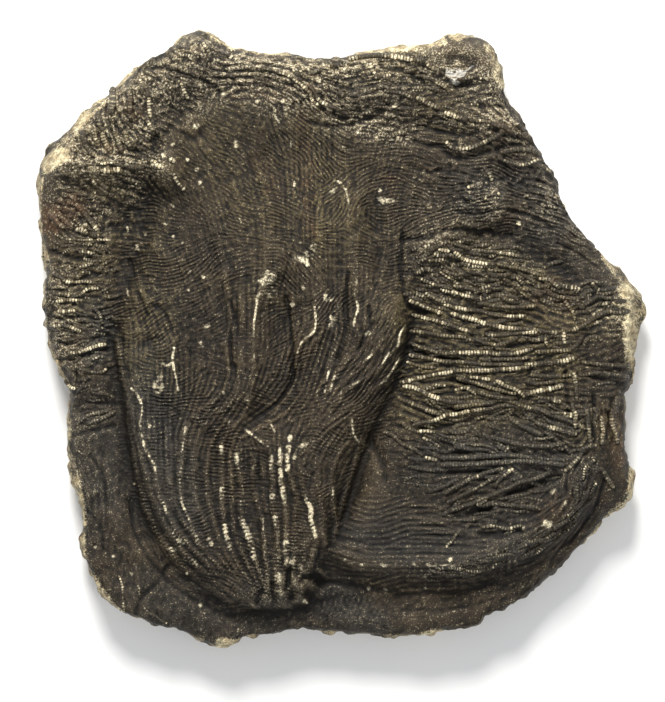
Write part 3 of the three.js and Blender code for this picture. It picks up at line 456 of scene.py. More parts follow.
# Pale specks standing on the stone: strength, half width, place.
SPECKS = [
    (0.9, 0.6, (-73.4, -63.6)), (0.8, 0.6, (-68, -66)), (0.9, 0.9, (-65, -68.6)),
    (0.8, 0.6, (-61.4, -68.8)), (0.8, 0.5, (-62.6, -71.2)), (0.8, 0.6, (-73, -47)),
    (0.9, 0.6, (-79.4, -39.6)), (0.7, 0.5, (-76, -40)), (0.8, 0.5, (-61.6, -44.6)),
    (0.7, 0.4, (-62.6, -49.6)), (0.7, 0.6, (-58, -71)), (0.9, 0.8, (-42, -80.4)),
    (0.8, 0.6, (-46, -71)), (0.7, 0.5, (-42, -88)), (0.9, 0.7, (-72.4, -25)),
    (0.9, 0.7, (32, -66.6)), (0.8, 0.5, (21, -39.4)), (0.9, 0.7, (49, -33.6)),
    (1.0, 0.9, (62.6, -46.4)), (0.8, 0.8, (66, -50)), (1.0, 1.4, (61, -56)),
    (0.8, 0.7, (54, -57.4)), (0.9, 0.7, (53.6, -75)), (0.7, 0.7, (18.6, -83.6)),
    (0.7, 0.6, (25, -75.4)), (0.8, 0.7, (13, -76)), (0.7, 0.7, (8, -75.6)),
    (0.8, 0.8, (60, 46)), (0.9, 0.7, (52.6, 33)), (0.8, 0.6, (24.4, 48.4)),
    (0.8, 0.6, (21.6, 46.4)), (0.9, 0.8, (47.2, 73.8)), (0.9, 0.8, (56, 59.4)),
    (0.8, 0.7, (61.6, 49)), (0.8, 0.7, (-45, 65)), (0.7, 1.0, (-43, 62)),
    (0.9, 0.7, (-42, 73.6)), (0.8, 0.6, (-54, 68)), (0.8, 0.6, (-53, 75.4)),
    (0.8, 0.6, (-50, 56)), (0.9, 0.8, (-52.4, 53)), (0.8, 0.6, (-45.6, 51.8)),
    (0.7, 0.7, (-43, 49)), (0.7, 0.7, (-42, 45)), (0.7, 0.6, (-54, 44)),
    (0.8, 0.6, (-25, 69)), (0.9, 0.7, (-34.4, 77.2)), (0.8, 0.6, (-17.4, 69.2)),
    (0.9, 0.7, (-14.6, 8.8)), (0.9, 0.7, (-11.4, 13.8)), (0.7, 0.7, (-28, -19.4)),
    (0.8, 0.6, (-34.8, -17.4)), (0.8, 0.5, (-45.4, 13)), (0.7, 0.5, (-54.6, 13)),
    (0.7, 0.5, (-45, 18.8)), (0.7, 0.6, (-41, 17)), (0.7, 0.5, (-50, 29)),
    (0.7, 0.5, (-58.4, 29.8)), (0.8, 0.6, (-47.4, 27)), (0.7, 0.5, (-60.6, 25.4)),
    (0.8, 0.6, (4.8, 60)), (0.8, 0.6, (15.6, 67.4)), (0.8, 0.7, (16, 68)), (0.7, 0.6, (-6.6, 75)),
]
BORDER = [(28, -71), (36, -69.6), (44, -67.2), (52, -64), (59.5, -61.4), (65.4, -57.6), (69.6, -52),
          (72, -46.6), (73.4, -40)]

# Grooves and cracks: depth, half width, line.
GROOVES = [
    (0.8, 0.7, [(-63, 22), (-61, 15), (-59.5, 10), (-57.6, 6)]),
    (1.0, 0.8, [(-55, 8.5), (-52.4, 6), (-50.4, 3), (-49.4, 0)]),
    (0.4, 0.9, [(-70, 0), (-67.4, -5), (-66.4, -12), (-65.4, -20), (-64.6, -28)]),
    (0.8, 0.6, [(-33, 10), (-32, 5), (-33, 1), (-33, -5), (-32, -10)]),
    (0.8, 0.6, [(-16.5, 11), (-15.4, 5), (-15, 0), (-14.4, -6)]),
    (1.1, 0.8, [(-14.6, -7), (-14.6, -13), (-17, -18), (-20.4, -22), (-25, -25.4), (-29, -28)]),
    (0.7, 0.6, [(2, 18), (1, 10), (1.4, 4), (0.6, -2), (-1, -7)]),
    (0.8, 0.7, [(8, 8), (8.4, 3), (6.4, -2), (3, -6)]),
    (0.8, 0.8, [(18, 30), (17.4, 20), (18.6, 12), (20, 8)]),
    (1.0, 0.7, [(-60, 79), (-54, 79), (-50, 78), (-45, 76.5), (-40, 75), (-36, 72)]),
    (0.6, 0.5, [(-50, 80.6), (-46, 81), (-42, 81)]),
    (1.3, 2.2, [(-60.6, 53), (-57.6, 54), (-55.4, 56)]),
    (0.4, 1.8, [(-75, 40.6), (-66, 37.6), (-58, 38), (-51, 40.4), (-45, 42)]),
    (0.8, 1.1, [(-56, 58), (-50, 61), (-44, 58), (-40, 62)]),
    (0.7, 0.8, [(-10, 63), (-5, 62), (0, 62), (6, 63.4), (12, 66)]),
    (0.8, 0.8, [(-9, 69.6), (-4, 65.8), (1, 64)]),
    (0.9, 0.8, [(22, 57.4), (26, 56), (29, 56), (31, 54), (33, 52.4), (37, 52.2), (40, 53),
                (45, 54.6), (50, 56), (56, 56), (59, 55)]),
    (1.3, 1.9, [(31.6, 81.4), (34.6, 82.4), (38, 81)]),
    (0.8, 0.9, [(30, 76.6), (33, 73.6), (37, 73.8)]),
    (0.7, 1.2, [(34, 73.8), (38, 74.2), (43, 73.8)]),
    (0.6, 0.6, [(10, 79.6), (16, 78.4), (22, 76.4), (28, 71)]),
    (0.6, 0.7, [(44, 61), (49, 58.6), (55, 57.6), (60, 54)]),
    (0.6, 0.7, [(24, 62), (30, 60), (36, 59), (40, 59.4)]),
    (0.5, 0.6, [(20, 50), (26, 48), (32, 49), (40, 46), (48, 46)]),
    (0.5, 0.6, [(34, 36.4), (40, 35.6), (48, 37), (56, 35), (62, 32)]),
    (0.8, 0.8, [(18, 28), (24, 28.6), (30, 30.6), (36, 31), (42, 30.6), (50, 29.4)]),
    (0.8, 0.8, [(32, 0.6), (38, -2.8), (44, -4), (50, -3.6), (57, -2.2), (64, -2)]),
    (0.9, 0.8, [(20, -4), (28, -7), (36, -7.2)]),
    (0.9, 0.9, [(33, -13), (40, -14.8), (46, -16.4), (52, -19)]),
    (0.8, 0.8, [(18, -18), (24, -20), (30, -22), (36, -21.8)]),
    (0.9, 0.9, [(24, -28), (32, -27), (40, -25.4), (48, -24), (54, -24.6)]),
    (1.2, 1.4, [(8, -30), (10, -34), (12, -38), (13, -43)]),
    (1.0, 1.0, [(30, -35), (38, -34.8), (46, -36.4), (52, -35)]),
    (1.1, 0.9, [(32, -41), (40, -40.6), (46, -40)]),
    (1.3, 1.1, [(34, -53), (40, -52.4), (46, -50.2), (52, -46.6), (58, -44.4), (64, -42.4)]),
    (1.0, 0.9, [(41, -59), (47, -59.2), (53, -58)]),
    (0.8, 0.8, [(60, -35.6), (66, -35), (72, -35)]),
    (0.8, 0.7, [(66, -10), (66.6, -16), (67, -24), (67, -30)]),
    (0.8, 0.8, [(74.6, -18), (75, -24), (75, -31)]),
    (0.8, 0.8, [(72, -12), (80, -14), (87, -15)]),
    (0.9, 0.8, [(-90, 26), (-84, 24), (-78, 22.6), (-72, 23.4)]),
    (0.7, 0.6, [(-88, 13.6), (-82, 13.4), (-76, 17.4), (-72, 18)]),
    (0.7, 0.6, [(-87, 5), (-82, 4.8), (-77, 5.6)]),
    (0.7, 0.6, [(-87, -1), (-82, -2.8), (-76, -2), (-72, -0.8)]),
    (0.9, 0.7, [(-84, -7.4), (-79, -7), (-74, -5.4), (-70, -4.6)]),
    (0.6, 0.7, [(-82, -19.6), (-76, -20), (-70, -20.4), (-66, -20.8)]),
    (0.7, 0.7, [(-80, -30), (-74, -28.6), (-68, -27)]),
    (0.7, 0.8, [(-52, -69), (-55, -74), (-60, -79), (-62, -86)]),
    (0.6, 0.8, [(-63, -50), (-62, -58), (-58, -66), (-52, -73), (-44, -79), (-36, -83)]),
    (0.7, 1.2, [(-34, -84), (-28, -83), (-20, -82.6), (-12, -82)]),
    (0.6, 0.9, [(-8, -74), (0, -74), (8, -75.6), (16, -76.4)]),
    (0.6, 0.7, [(16, -78), (26, -77), (36, -76.6), (46, -74)]),
    (0.5, 0.6, [(18, -82), (30, -82), (42, -80)]),
    (0.5, 0.6, [(48, -79), (56, -76), (62, -71)]),
    (0.6, 0.7, [(68, -62), (72, -57), (76, -50), (78, -43)]),
    (0.5, 0.6, [(-76, -52), (-72, -57), (-71, -64)]),
    (0.5, 0.6, [(-75, -36), (-71, -42), (-70, -50)]),
    (0.9, 1.5, [(21, 1), (18.5, -8), (15.6, -16), (12, -24), (9, -31), (6.4, -38), (4, -46),
                (1.6, -54)]),
    (0.5, 0.5, [(38, 71.6), (43, 70.8), (48, 71.4)]),
    (0.5, 0.5, [(36, 68.6), (42, 67.4), (50, 67.6)]),
    (0.5, 0.5, [(60, 40), (66, 37), (70, 33)]),
    (0.5, 0.5, [(58, 46), (62, 44), (66, 41)]),
    (0.6, 0.5, [(64, 27), (70, 24), (76, 20)]),
]

# Rounded blocks about the root of the crown, where its plates have come apart.
BLOCKS = [
    (1.0, 1.3, [(-18.6, -71.4), (-18.4, -73.2)]), (0.9, 1.2, [(-18.4, -76.2), (-17.6, -76.8)]),
    (0.8, 1.1, [(-22.6, -78), (-21.4, -78.6)]), (1.0, 1.3, [(-15.4, -67), (-14.6, -67.4)]),
    (0.8, 1.1, [(-12.2, -69), (-11.6, -70)]), (0.7, 1.2, [(-10, -74), (-8, -74.6)]),
    (0.8, 1.3, [(-13.6, -73.6), (-12.6, -74.6)]), (0.7, 1.1, [(-26.6, -80.4), (-25.4, -81.2)]),
    (0.8, 1.2, [(-13, -78.6), (-11.4, -79.4)]), (0.6, 1.3, [(-17.4, -80.4), (-15.8, -81)]),
    (0.7, 1.0, [(-22.4, -73), (-22, -75)]), (0.6, 1.0, [(-7, -78), (-5.6, -77.2)]),
    (0.6, 1.0, [(-6.6, -70.4), (-5.4, -71.4)]),
    (-1.1, 1.1, [(-16, -70), (-15.6, -75), (-15, -78)]),
    (-1.0, 1.0, [(-20.4, -74), (-20, -79)]), (-1.0, 1.2, [(-10.6, -72), (-8, -71.6), (-6, -74)]),
    (-0.9, 1.0, [(-24, -76), (-25, -79)]), (-0.9, 1.1, [(-10, -77), (-8, -79)]),
]

# Broad folds: rise, half width, line.
FOLDS = [
    (0.31, 2.4, [(-48, 52), (-46, 40), (-47, 26), (-49, 12), (-49.5, 0), (-49, -12)]),
    (0.31, 2.2, [(-40, 54), (-39, 40), (-36, 26), (-34, 14), (-33, 2), (-34, -9)]),
    (0.31, 2.0, [(-31, 60), (-31, 46), (-31, 34), (-30, 20), (-30, 8), (-30, -6)]),
    (0.37, 2.2, [(-25, 60), (-23, 46), (-22, 32), (-23, 20), (-26, 6), (-26, -8)]),
    (0.25, 2.0, [(-16, 66), (-15, 52), (-13, 40), (-13, 28), (-13.6, 14), (-13.4, 2)]),
    (0.31, 2.0, [(-8, 62), (-7, 50), (-7, 36), (-8, 22), (-9, 12)]),
    (0.25, 1.8, [(0, 58), (0, 46), (2, 34), (4, 22), (4, 10)]),
    (0.25, 2.0, [(8, 56), (6, 44), (8, 30), (8, 18), (7, 8)]),
    (0.25, 2.0, [(12, 54), (14, 42), (14, 28), (13, 16), (11, 6)]),
    (0.6, 2.6, [(-68, 28), (-62, 27), (-55, 26), (-50, 22)]),
    (0.5, 2.4, [(-62, 12), (-56, 10), (-50, 12)]),
    (0.5, 2.2, [(-66, -6), (-60, -7), (-54, -5)]),
    (0.5, 2.0, [(-62, 0), (-56, 1), (-52, -1)]),
    (0.7, 2.4, [(-78, 47), (-70, 46.6), (-62, 46), (-54, 47)]),
    (0.9, 3.5, [(-86, 43), (-76, 42), (-64, 41)]),
    (0.6, 2.0, [(-20, 70), (-12, 68), (-4, 66)]),
    (0.5, 3.0, [(44, 66), (50, 64), (56, 60), (60, 54)]),
    (0.5, 3.4, [(36, 44), (44, 42), (52, 41), (60, 38)]),
    (0.5, 3.0, [(66, 30), (70, 22), (72, 14)]),
    (0.6, 2.2, [(60, -52), (64, -47), (67, -41)]),
    (0.5, 2.4, [(-70, -38), (-68, -48), (-67, -58)]),
    (0.4, 3.0, [(-50, -80), (-40, -84), (-28, -87)]),
    (0.4, 2.4, [(40, -77), (52, -73), (62, -66)]),
]

# Buff limestone of the broken rim that is seen from above: strength, half width, line.
BUFF_RIM = [
    (1.0, 2.6, [(-50, 88), (-46, 90), (-42.5, 92), (-37, 90), (-32, 87)]),
    (1.0, 1.6, [(-32, 87), (-25, 85), (-16, 84.4)]),
    (0.9, 1.5, [(-58, 83), (-66, 76), (-70.6, 73), (-74, 69)]),
    (1.0, 1.8, [(-76, 66.6), (-77.8, 63.6), (-79, 60)]),
    (1.0, 2.9, [(-88, 50.6), (-85, 52.4), (-82.6, 53.4)]),
    (0.8, 1.1, [(-84, 56), (-80, 60), (-76, 64), (-70, 69.4)]),
    (0.7, 1.3, [(-89.6, 46), (-90.4, 40), (-90.6, 34)]),
    (0.9, 1.8, [(-91, 33), (-90.4, 27), (-88.4, 22)]),
    (0.8, 1.4, [(-90, 20), (-89.8, 15), (-89.4, 10)]),
    (0.9, 1.5, [(-89.4, 4), (-88.4, -2), (-86, -8), (-83.6, -14)]),
    (0.9, 1.8, [(-83, -14), (-84, -20), (-84, -26)]),
    (1.0, 2.6, [(-83, -25), (-83.4, -33), (-81, -40), (-80, -46)]),
    (1.0, 2.2, [(-79, -48), (-78.4, -56), (-78.4, -62), (-77, -68)]),
    (0.8, 1.6, [(-76, -70), (-71, -78), (-66, -84)]),
    (0.7, 1.2, [(-60, -87), (-50, -90), (-42, -91)]),
    (0.9, 1.8, [(-36, -92), (-31, -92), (-26, -91)]),
    (0.9, 1.8, [(4, -91), (14, -91), (21, -91), (29, -89.6)]),
    (1.0, 2.2, [(73, -63.6), (79, -57.6), (84, -51.4)]),
    (1.0, 2.2, [(84.6, -52), (87.4, -46), (87.8, -41)]),
    (0.9, 1.6, [(86.8, -34), (86.8, -27), (86.4, -20)]),
    (1.0, 5.0, [(89.4, -7), (88.6, 0), (88, 8), (87, 14)]),
    (1.0, 2.4, [(85.6, 15), (82.6, 19), (80, 22.6)]),
    (1.0, 2.0, [(34, 89), (38, 90.4), (42, 90), (45, 88)]),
    (1.0, 3.4, [(45.4, 87), (47.4, 83), (48.2, 77)]),
    (0.8, 1.4, [(47.6, 79), (51.6, 74), (56.6, 68)]),
    (1.0, 1.7, [(-2, 84.6), (6, 85.4), (14, 85.6), (22, 85.4), (30, 87)]),
]

# Rusty, golden, greyish and pale dusty areas: strength, half width, line.
RUST = [
    (0.9, 4.5, [(-87, 34), (-83, 36), (-80, 38)]),
    (0.45, 2.6, [(-12, 64), (-10.6, 52), (-10, 40), (-9, 28)]),
    (0.5, 4.0, [(80, -24), (82, -30), (83, -36)]),
    (0.5, 3.0, [(-70, 56), (-66, 54)]),
    (0.5, 3.0, [(-62, 68), (-60, 64)]),
    (0.4, 4.0, [(-30, 72), (-18, 71), (-8, 74)]),
    (0.4, 5.0, [(56, 8), (62, 14), (66, 8)]),
    (0.4, 4.0, [(60, -55), (66, -48)]),
    (0.4, 3.0, [(14, 48), (16, 36)]),
    (0.4, 5.0, [(-20, 40), (-24, 52)]),
    (0.3, 5.0, [(-56, 22), (-50, 16)]),
    (0.35, 5.0, [(44, 66), (50, 58)]),
    (0.5, 1.6, [(76, -64), (82, -56)]),
    (0.5, 1.6, [(-86, -4), (-83, -13)]),
]
GOLD = [
    (0.7, 9.0, [(22, 5), (34, 3), (46, 2), (58, 2)]),
    (0.7, 8.0, [(24, -12), (36, -10), (50, -9), (64, -8)]),
    (0.6, 7.0, [(22, -22), (34, -22), (46, -20), (58, -18)]),
    (0.6, 7.0, [(34, 20), (44, 20), (56, 17)]),
    (0.6, 6.0, [(70, 4), (78, 6)]),
    (0.6, 7.0, [(-78, 60), (-70, 58), (-64, 58)]),
    (0.5, 8.0, [(-80, 12), (-76, 20), (-72, 30)]),
    (0.5, 6.0, [(-76, 46), (-68, 44)]),
    (0.4, 9.0, [(-34, 66), (-30, 50), (-28, 36)]),
    (0.4, 9.0, [(-12, 62), (-8, 46), (-6, 30)]),
    (0.35, 8.0, [(-56, 30), (-56, 12), (-58, -4)]),
    (0.5, 6.0, [(-12, 80), (4, 80), (20, 80)]),
    (0.45, 6.0, [(26, 70), (34, 64)]),
    (0.5, 5.0, [(70, -28), (78, -28)]),
    (0.4, 6.0, [(-70, 76), (-60, 78), (-48, 84)]),
]
GREY = [
    (0.8, 4.0, [(-73, -6), (-72, 0), (-73, 6)]),
    (0.5, 8.0, [(10, -60), (30, -63), (50, -60)]),
    (0.5, 7.0, [(30, -37), (50, -37), (66, -40)]),
    (0.6, 6.0, [(-2, -80), (8, -86)]),
    (0.4, 9.0, [(-60, -80), (-40, -84), (-20, -86)]),
    (0.4, 9.0, [(-72, -30), (-70, -50)]),
    (0.5, 8.0, [(40, 44), (52, 46), (60, 44)]),
    (0.4, 7.0, [(56, -28), (66, -27)]),
    (0.4, 6.0, [(70, 20), (78, 12)]),
    (0.6, 9.0, [(-59, -12), (-55, -32), (-47, -50)]),
    (0.5, 8.0, [(58, 30), (68, 34)]),
]
DUSTY = [
    (0.6, 6.0, [(-70, 68), (-60, 72), (-50, 78), (-42, 84)]),
    (0.8, 6.0, [(-80, 57), (-72, 60), (-62, 60)]),
    (0.8, 7.0, [(-78, 54), (-68, 52), (-60, 50)]),
    (0.5, 6.0, [(-50, 70), (-42, 72), (-36, 76)]),
    (0.8, 5.0, [(-34, 80), (-20, 79), (-6, 80), (10, 81)]),
    (0.7, 6.0, [(-30, 76), (-18, 72), (-8, 72)]),
    (0.4, 6.0, [(8, 74), (22, 76)]),
    (0.6, 5.0, [(-2, 66), (8, 63), (18, 61)]),
    (0.6, 6.0, [(26, 79), (36, 79), (42, 75)]),
    (0.4, 6.0, [(-82, 40), (-76, 34)]),
    (0.5, 5.0, [(-84, 16), (-84, 4), (-82, -6)]),
    (0.4, 5.0, [(38, 66), (44, 64)]),
    (0.5, 5.0, [(76, 8), (82, 6)]),
    (0.15, 6.0, [(-80, -30), (-78, -46)]),
    (0.35, 6.0, [(26, 25), (40, 22), (54, 18)]),
    (0.3, 8.0, [(-20, -70), (-14, -66)]),
]

# Which way the fine pinnules run over the face: x, y, angle in degrees.
GRAIN = [
    (-50, 62, -35), (-42, 55, -35), (-50, 45, -25), (-40, 45, -35), (-35, 40, -35),
    (-30, 55, -40), (-30, 45, -35), (-25, 60, -35), (-20, 50, -20), (-17, 42, -12),
    (-15, 57, -25), (-12, 62, -35), (-20, 35, -15), (-5, 55, -60), (0, 60, -10), (0, 40, 60),
    (10, 50, 20), (20, 45, 0), (30, 45, 10), (40, 48, 0), (10, 30, -30), (20, 30, 10),
    (30, 30, 15), (-60, 30, 15), (-50, 30, -10), (-60, 15, 20), (-55, 0, 25), (-45, 20, 15),
    (-45, 5, 15), (-40, -5, -10), (-55, -15, 0), (-45, -10, 20), (-58, -25, 10), (-35, 15, 20),
    (-30, 0, -25), (-22, 0, 25), (-20, -10, 30), (-28, -10, -25), (-35, -8, -20), (-10, 15, -50),
    (-5, 10, 40), (0, 0, -40), (10, 0, 60), (8, -15, 40), (-52, -45, 20), (-43, -35, -15),
    (-38, -40, 0), (-30, -30, 10), (-25, -45, 0), (-5, -38, -35), (0, -45, 30), (30, 8, -14),
    (45, 4, -8), (60, 2, -4), (30, -10, -4), (50, -10, 0), (65, -8, 10), (28, -20, -14),
    (45, -22, 4), (60, -20, -14), (40, -36, 2), (60, -38, -4), (40, -46, 22), (55, -44, 12),
    (20, -60, 0), (40, -62, 4), (60, -60, 34), (70, -45, 78), (80, -28, 86), (78, -10, -4),
    (75, 8, 16), (50, 20, -8), (60, 40, -24), (50, 66, -30), (40, 72, -4), (10, 74, -8),
    (-10, 76, -24), (-30, 76, -10), (-55, 78, -30), (-70, 62, -70), (-70, 48, 4), (-84, 34, -50),
    (-80, 20, 10), (-82, 6, 0), (-76, -4, 8), (-76, -20, 10), (-74, -40, -70), (-72, -58, -74),
    (-62, -76, -80), (-40, -86, -4), (-20, -87, -20), (4, -82, -50), (26, -84, 2), (50, -78, 20),
]

# Which way the arms under the pinnules run.
ARM_GRAIN = [
    (-56, 46, -60), (-45, 52, -58), (-34, 58, -58), (-30, 42, -62), (-22, 62, -66),
    (-15, 50, -80), (-10, 40, 90), (-5, 56, 86), (2, 46, 80), (8, 36, 84), (16, 44, 70),
    (22, 32, 74), (-50, 26, -70), (-40, 24, -74), (-30, 24, -82), (-20, 20, 84), (-10, 16, 84),
    (2, 14, 88), (10, 12, 74), (-60, 10, -80), (-50, 4, -88), (-40, 6, -84), (-30, 2, -88),
    (-20, 0, 86), (-10, -4, 70), (4, -4, 50), (14, -4, 60), (-58, -20, 84), (-48, -20, 88),
    (-36, -18, 50), (-24, -20, 40), (-10, -20, 62), (6, -18, 46), (14, -16, 52),
    (-58, -44, -76), (-46, -44, -86), (-34, -44, 88), (-22, -44, 88), (-10, -44, 80),
    (2, -42, 66), (-48, -62, -60), (-34, -64, -72), (-20, -66, 88), (-8, -66, 76), (10, -30, 60),
]

# Broad lighter (above 0) and darker patches: partly the stone's own tone, partly painted light on
# steps and flanks that lie in shade and painted shade in hollows: strength, half width, line.
TONE_AND_SHADE_PATCHES = [
    (0.5, 10.0, [(-46, 62), (-36, 52), (-26, 40)]),
    (0.6, 7.0, [(-20, 24), (-13, 12), (-6, 0)]),
    (0.5, 5.0, [(-82, 57), (-76, 58), (-70, 56)]),
    (1.3, 4.0, [(-87, 45), (-76, 44), (-64, 43)]),
    (0.6, 6.0, [(-3, 66), (8, 63), (20, 60)]),
    (0.6, 6.0, [(26, 80), (36, 79), (42, 75)]),
    (-0.6, 9.0, [(-60, 36), (-55, 22), (-50, 6)]),
    (-0.4, 8.0, [(-40, 0), (-34, -14)]),
    (-1.0, 8.0, [(-30, -70), (-20, -76), (-10, -74)]),
    (-0.6, 10.0, [(22, -38), (38, -44), (54, -48)]),
    (-0.35, 9.0, [(8, -60), (30, -63), (50, -60)]),
    (-0.8, 5.0, [(58, -60), (67, -52), (72, -42)]),
    (-0.6, 5.0, [(28, 61), (40, 58), (50, 57)]),
    (-0.6, 4.0, [(-74, 72), (-62, 82), (-52, 88)]),
    (-0.4, 8.0, [(-72, -34), (-72, -58)]),
    (0.7, 2.6, [(-66, 0), (-65, -14), (-62, -36), (-56, -56), (-46, -70), (-34, -79)]),
    (0.5, 2.6, [(20, 0), (12, -24), (2, -50)]),
    (-0.45, 12.0, [(28, -4), (44, -7), (60, -10)]),
    (0.7, 3.0, [(-32, -83), (-14, -83)]),
    (0.6, 2.6, [(4, -73), (20, -77), (40, -77)]),
]

# ---------------------------------------------------------------------------------------------
# Rasters: one value for each quarter of a millimetre of the face.
# ---------------------------------------------------------------------------------------------
CELL = 0.25
XS = np.arange(-93, 93 + CELL / 2, CELL)
YS = np.arange(-95, 93 + CELL / 2, CELL)
GX, GY = np.meshgrid(XS, YS)
SHAPE = GX.shape


def blur(field, size):
    """Gaussian blur; size is the standard deviation in millimetres."""
    pad = int(3 * size / CELL) + 1
    wide = np.pad(field, pad, mode="edge")
    fy = np.fft.fftfreq(wide.shape[0], CELL)[:, None]
    fx = np.fft.rfftfreq(wide.shape[1], CELL)[None, :]
    soft = np.exp(-2 * (math.pi * size) ** 2 * (fx ** 2 + fy ** 2))
    wide = np.fft.irfft2(np.fft.rfft2(wide) * soft, s=wide.shape)
    return wide[pad:-pad, pad:-pad]


def noise(seed, size):
    """Smooth seeded noise with features about size across, of standard deviation 1."""
    field = blur(np.random.default_rng(seed).standard_normal(SHAPE), size)
    return field / field.std()


def rough(seed, size, octaves=4):
    """Fractal noise, from features of the given size down."""
    field = sum(noise(seed + k, size / 2 ** k) * 0.6 ** k for k in range(octaves))
    return field / field.std()


def smooth_step(low, high, value):
    """0 up to low, 1 from high on, and a smooth rise between them."""
    t = np.clip((value - low) / (high - low), 0, 1)
    return t * t * (3 - 2 * t)


def sample(field, x, y):
    """Bilinear value of a raster at points."""
    fx = np.clip((np.asarray(x) - XS[0]) / CELL, 0, len(XS) - 1.001)
    fy = np.clip((np.asarray(y) - YS[0]) / CELL, 0, len(YS) - 1.001)
    i = fx.astype(int)
    j = fy.astype(int)
    a = fx - i
    b = fy - j
    low = field[j, i] * (1 - a) + field[j, i + 1] * a
    high = field[j + 1, i] * (1 - a) + field[j + 1, i + 1] * a
    return low * (1 - b) + high * b


def round_line(points, step):
    """A Catmull-Rom curve through points, sampled at about even steps."""
    p = np.array(points, float)
    if len(p) == 1:
        return p
    p = np.vstack([2 * p[0] - p[1], p, 2 * p[-1] - p[-2]])
    t = np.linspace(0, 1, 24, endpoint=False)[:, None]
    parts = []
    for a, b, c, d in zip(p, p[1:], p[2:], p[3:]):
        parts.append(0.5 * (2 * b + (c - a) * t + (2 * a - 5 * b + 4 * c - d) * t ** 2
                            + (3 * b - a - 3 * c + d) * t ** 3))
    curve = np.vstack(parts + [p[-2:-1]])
    run = line_run(curve)
    count = max(2, int(round(run[-1] / step)) + 1)
    at = np.linspace(0, run[-1], count)
    return np.column_stack([np.interp(at, run, curve[:, k]) for k in range(2)])


def line_run(points):
    """Distance along a line at each of its points."""
    return np.concatenate([[0], np.cumsum(np.hypot(*np.diff(points, axis=0).T))])


def closed_ring(ring):
    """A ring of points with its first repeated at the end, and the run along it."""
    closed = np.vstack([ring, ring[:1]])
    return closed, line_run(closed)


def window(points, reach):
    """The part of the rasters within reach of some points."""
    low = points.min(0) - reach
    high = points.max(0) + reach
    i = slice(max(0, int((low[0] - XS[0]) / CELL)), max(1, int((high[0] - XS[0]) / CELL) + 2))
    j = slice(max(0, int((low[1] - YS[0]) / CELL)), max(1, int((high[1] - YS[0]) / CELL) + 2))
    return j, i


def distance(points, area):
    """Distance from each cell of a window to a line."""
    x = GX[area]
    y = GY[area]
    best = np.full(x.shape, 1e9)
    if len(points) == 1:
        return np.hypot(x - points[0][0], y - points[0][1])
    for (ax, ay), (bx, by) in zip(points, points[1:]):
        dx, dy = bx - ax, by - ay
        t = np.clip(((x - ax) * dx + (y - ay) * dy) / (dx * dx + dy * dy + 1e-9), 0, 1)
        best = np.minimum(best, (x - ax - t * dx) ** 2 + (y - ay - t * dy) ** 2)
    return np.sqrt(best)


def paint(raster, strokes, add=False, edge=0.5):
    """Paints soft strokes of (strength, half width, line) on a raster."""
    for strength, half, line in strokes:
        points = round_line(line if isinstance(line, list) else [line], 1.0)
        area = window(points, half * (1 + edge) + 1)
        away = distance(points, area) / half
        value = strength * (1 - smooth_step(1 - edge, 1 + edge, away))
        if add:
            raster[area] += value
        else:
            raster[area] = np.maximum(raster[area], value)
    return raster


def heap(strokes):
    """Soft mounds or grooves: each stroke adds its height with a bell-shaped section."""
    field = np.zeros(SHAPE)
    for height, half, line in strokes:
        points = round_line(line, 1.0)
        area = window(points, half * 2.6)
        field[area] += height * np.exp(-0.9 * (distance(points, area) / half) ** 2)
    return field


# ---------------------------------------------------------------------------------------------
# The CAD surface, read as the ground that everything else is modelled on.
# ---------------------------------------------------------------------------------------------
def cad_triangles():
    """The CAD model's spots, in millimetres from the drawing's datum, and its triangles."""
    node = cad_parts[NODE]
    mesh = node.data
    mesh.calc_loop_triangles()
    spots = np.array([v.co for v in mesh.vertices]) / MM
    spots[:, :2] -= DATUM
    tris = np.array([t.vertices[:] for t in mesh.loop_triangles])
    return spots, tris


def read_ground(spots, tris):
    """Height of the CAD model's upper side, as a raster, and where the slab is."""
    top = np.full(SHAPE, -1.0)
    for a, b, c in spots[tris]:
        turn = (b[0] - a[0]) * (c[1] - a[1]) - (b[1] - a[1]) * (c[0] - a[0])
        if turn < 1e-4 or min(a[2], b[2], c[2]) < BULGE_HEIGHT - 0.2:
            continue
        j, i = window(np.array([a[:2], b[:2], c[:2]]), 0.01)
        x = GX[j, i]
        y = GY[j, i]
        u = ((b[0] - x) * (c[1] - y) - (b[1] - y) * (c[0] - x)) / turn
        v = ((c[0] - x) * (a[1] - y) - (c[1] - y) * (a[0] - x)) / turn
        inside = (u >= -1e-6) & (v >= -1e-6) & (u + v <= 1 + 1e-6)
        height = u * a[2] + v * b[2] + (1 - u - v) * c[2]
        part = top[j, i]
        part[inside] = np.maximum(part[inside], height[inside])
    on = top > 0
    soft_on = blur(on.astype(float), 1.1)
    ground = blur(np.where(on, top, 0), 1.1) / np.maximum(soft_on, 1e-3)
    far = blur(np.where(on, top, 0), 6) / np.maximum(blur(on.astype(float), 6), 1e-3)
    return np.where(soft_on > 0.02, ground, far), on


def read_outline(spots):
    """The slab's widest outline, anticlockwise and closed, and the run along it."""
    ring = spots[np.abs(spots[:, 2] - BULGE_HEIGHT) < 0.02]
    ring = np.unique(np.round(ring[:, :2], 3), axis=0)
    ring = ring[np.argsort(np.arctan2(ring[:, 1], ring[:, 0]))]
    return closed_ring(ring)


SPOTS, TRIS = cad_triangles()
GROUND, ON_SLAB = read_ground(SPOTS, TRIS)
OUTLINE, OUTLINE_RUN = read_outline(SPOTS)

AREA = window(OUTLINE, 8)
RIM_AWAY = np.full(SHAPE, 40.0)
RIM_AWAY[AREA] = np.minimum(distance(OUTLINE, AREA), 40)
RIM_AWAY = np.where(ON_SLAB, RIM_AWAY, -RIM_AWAY)


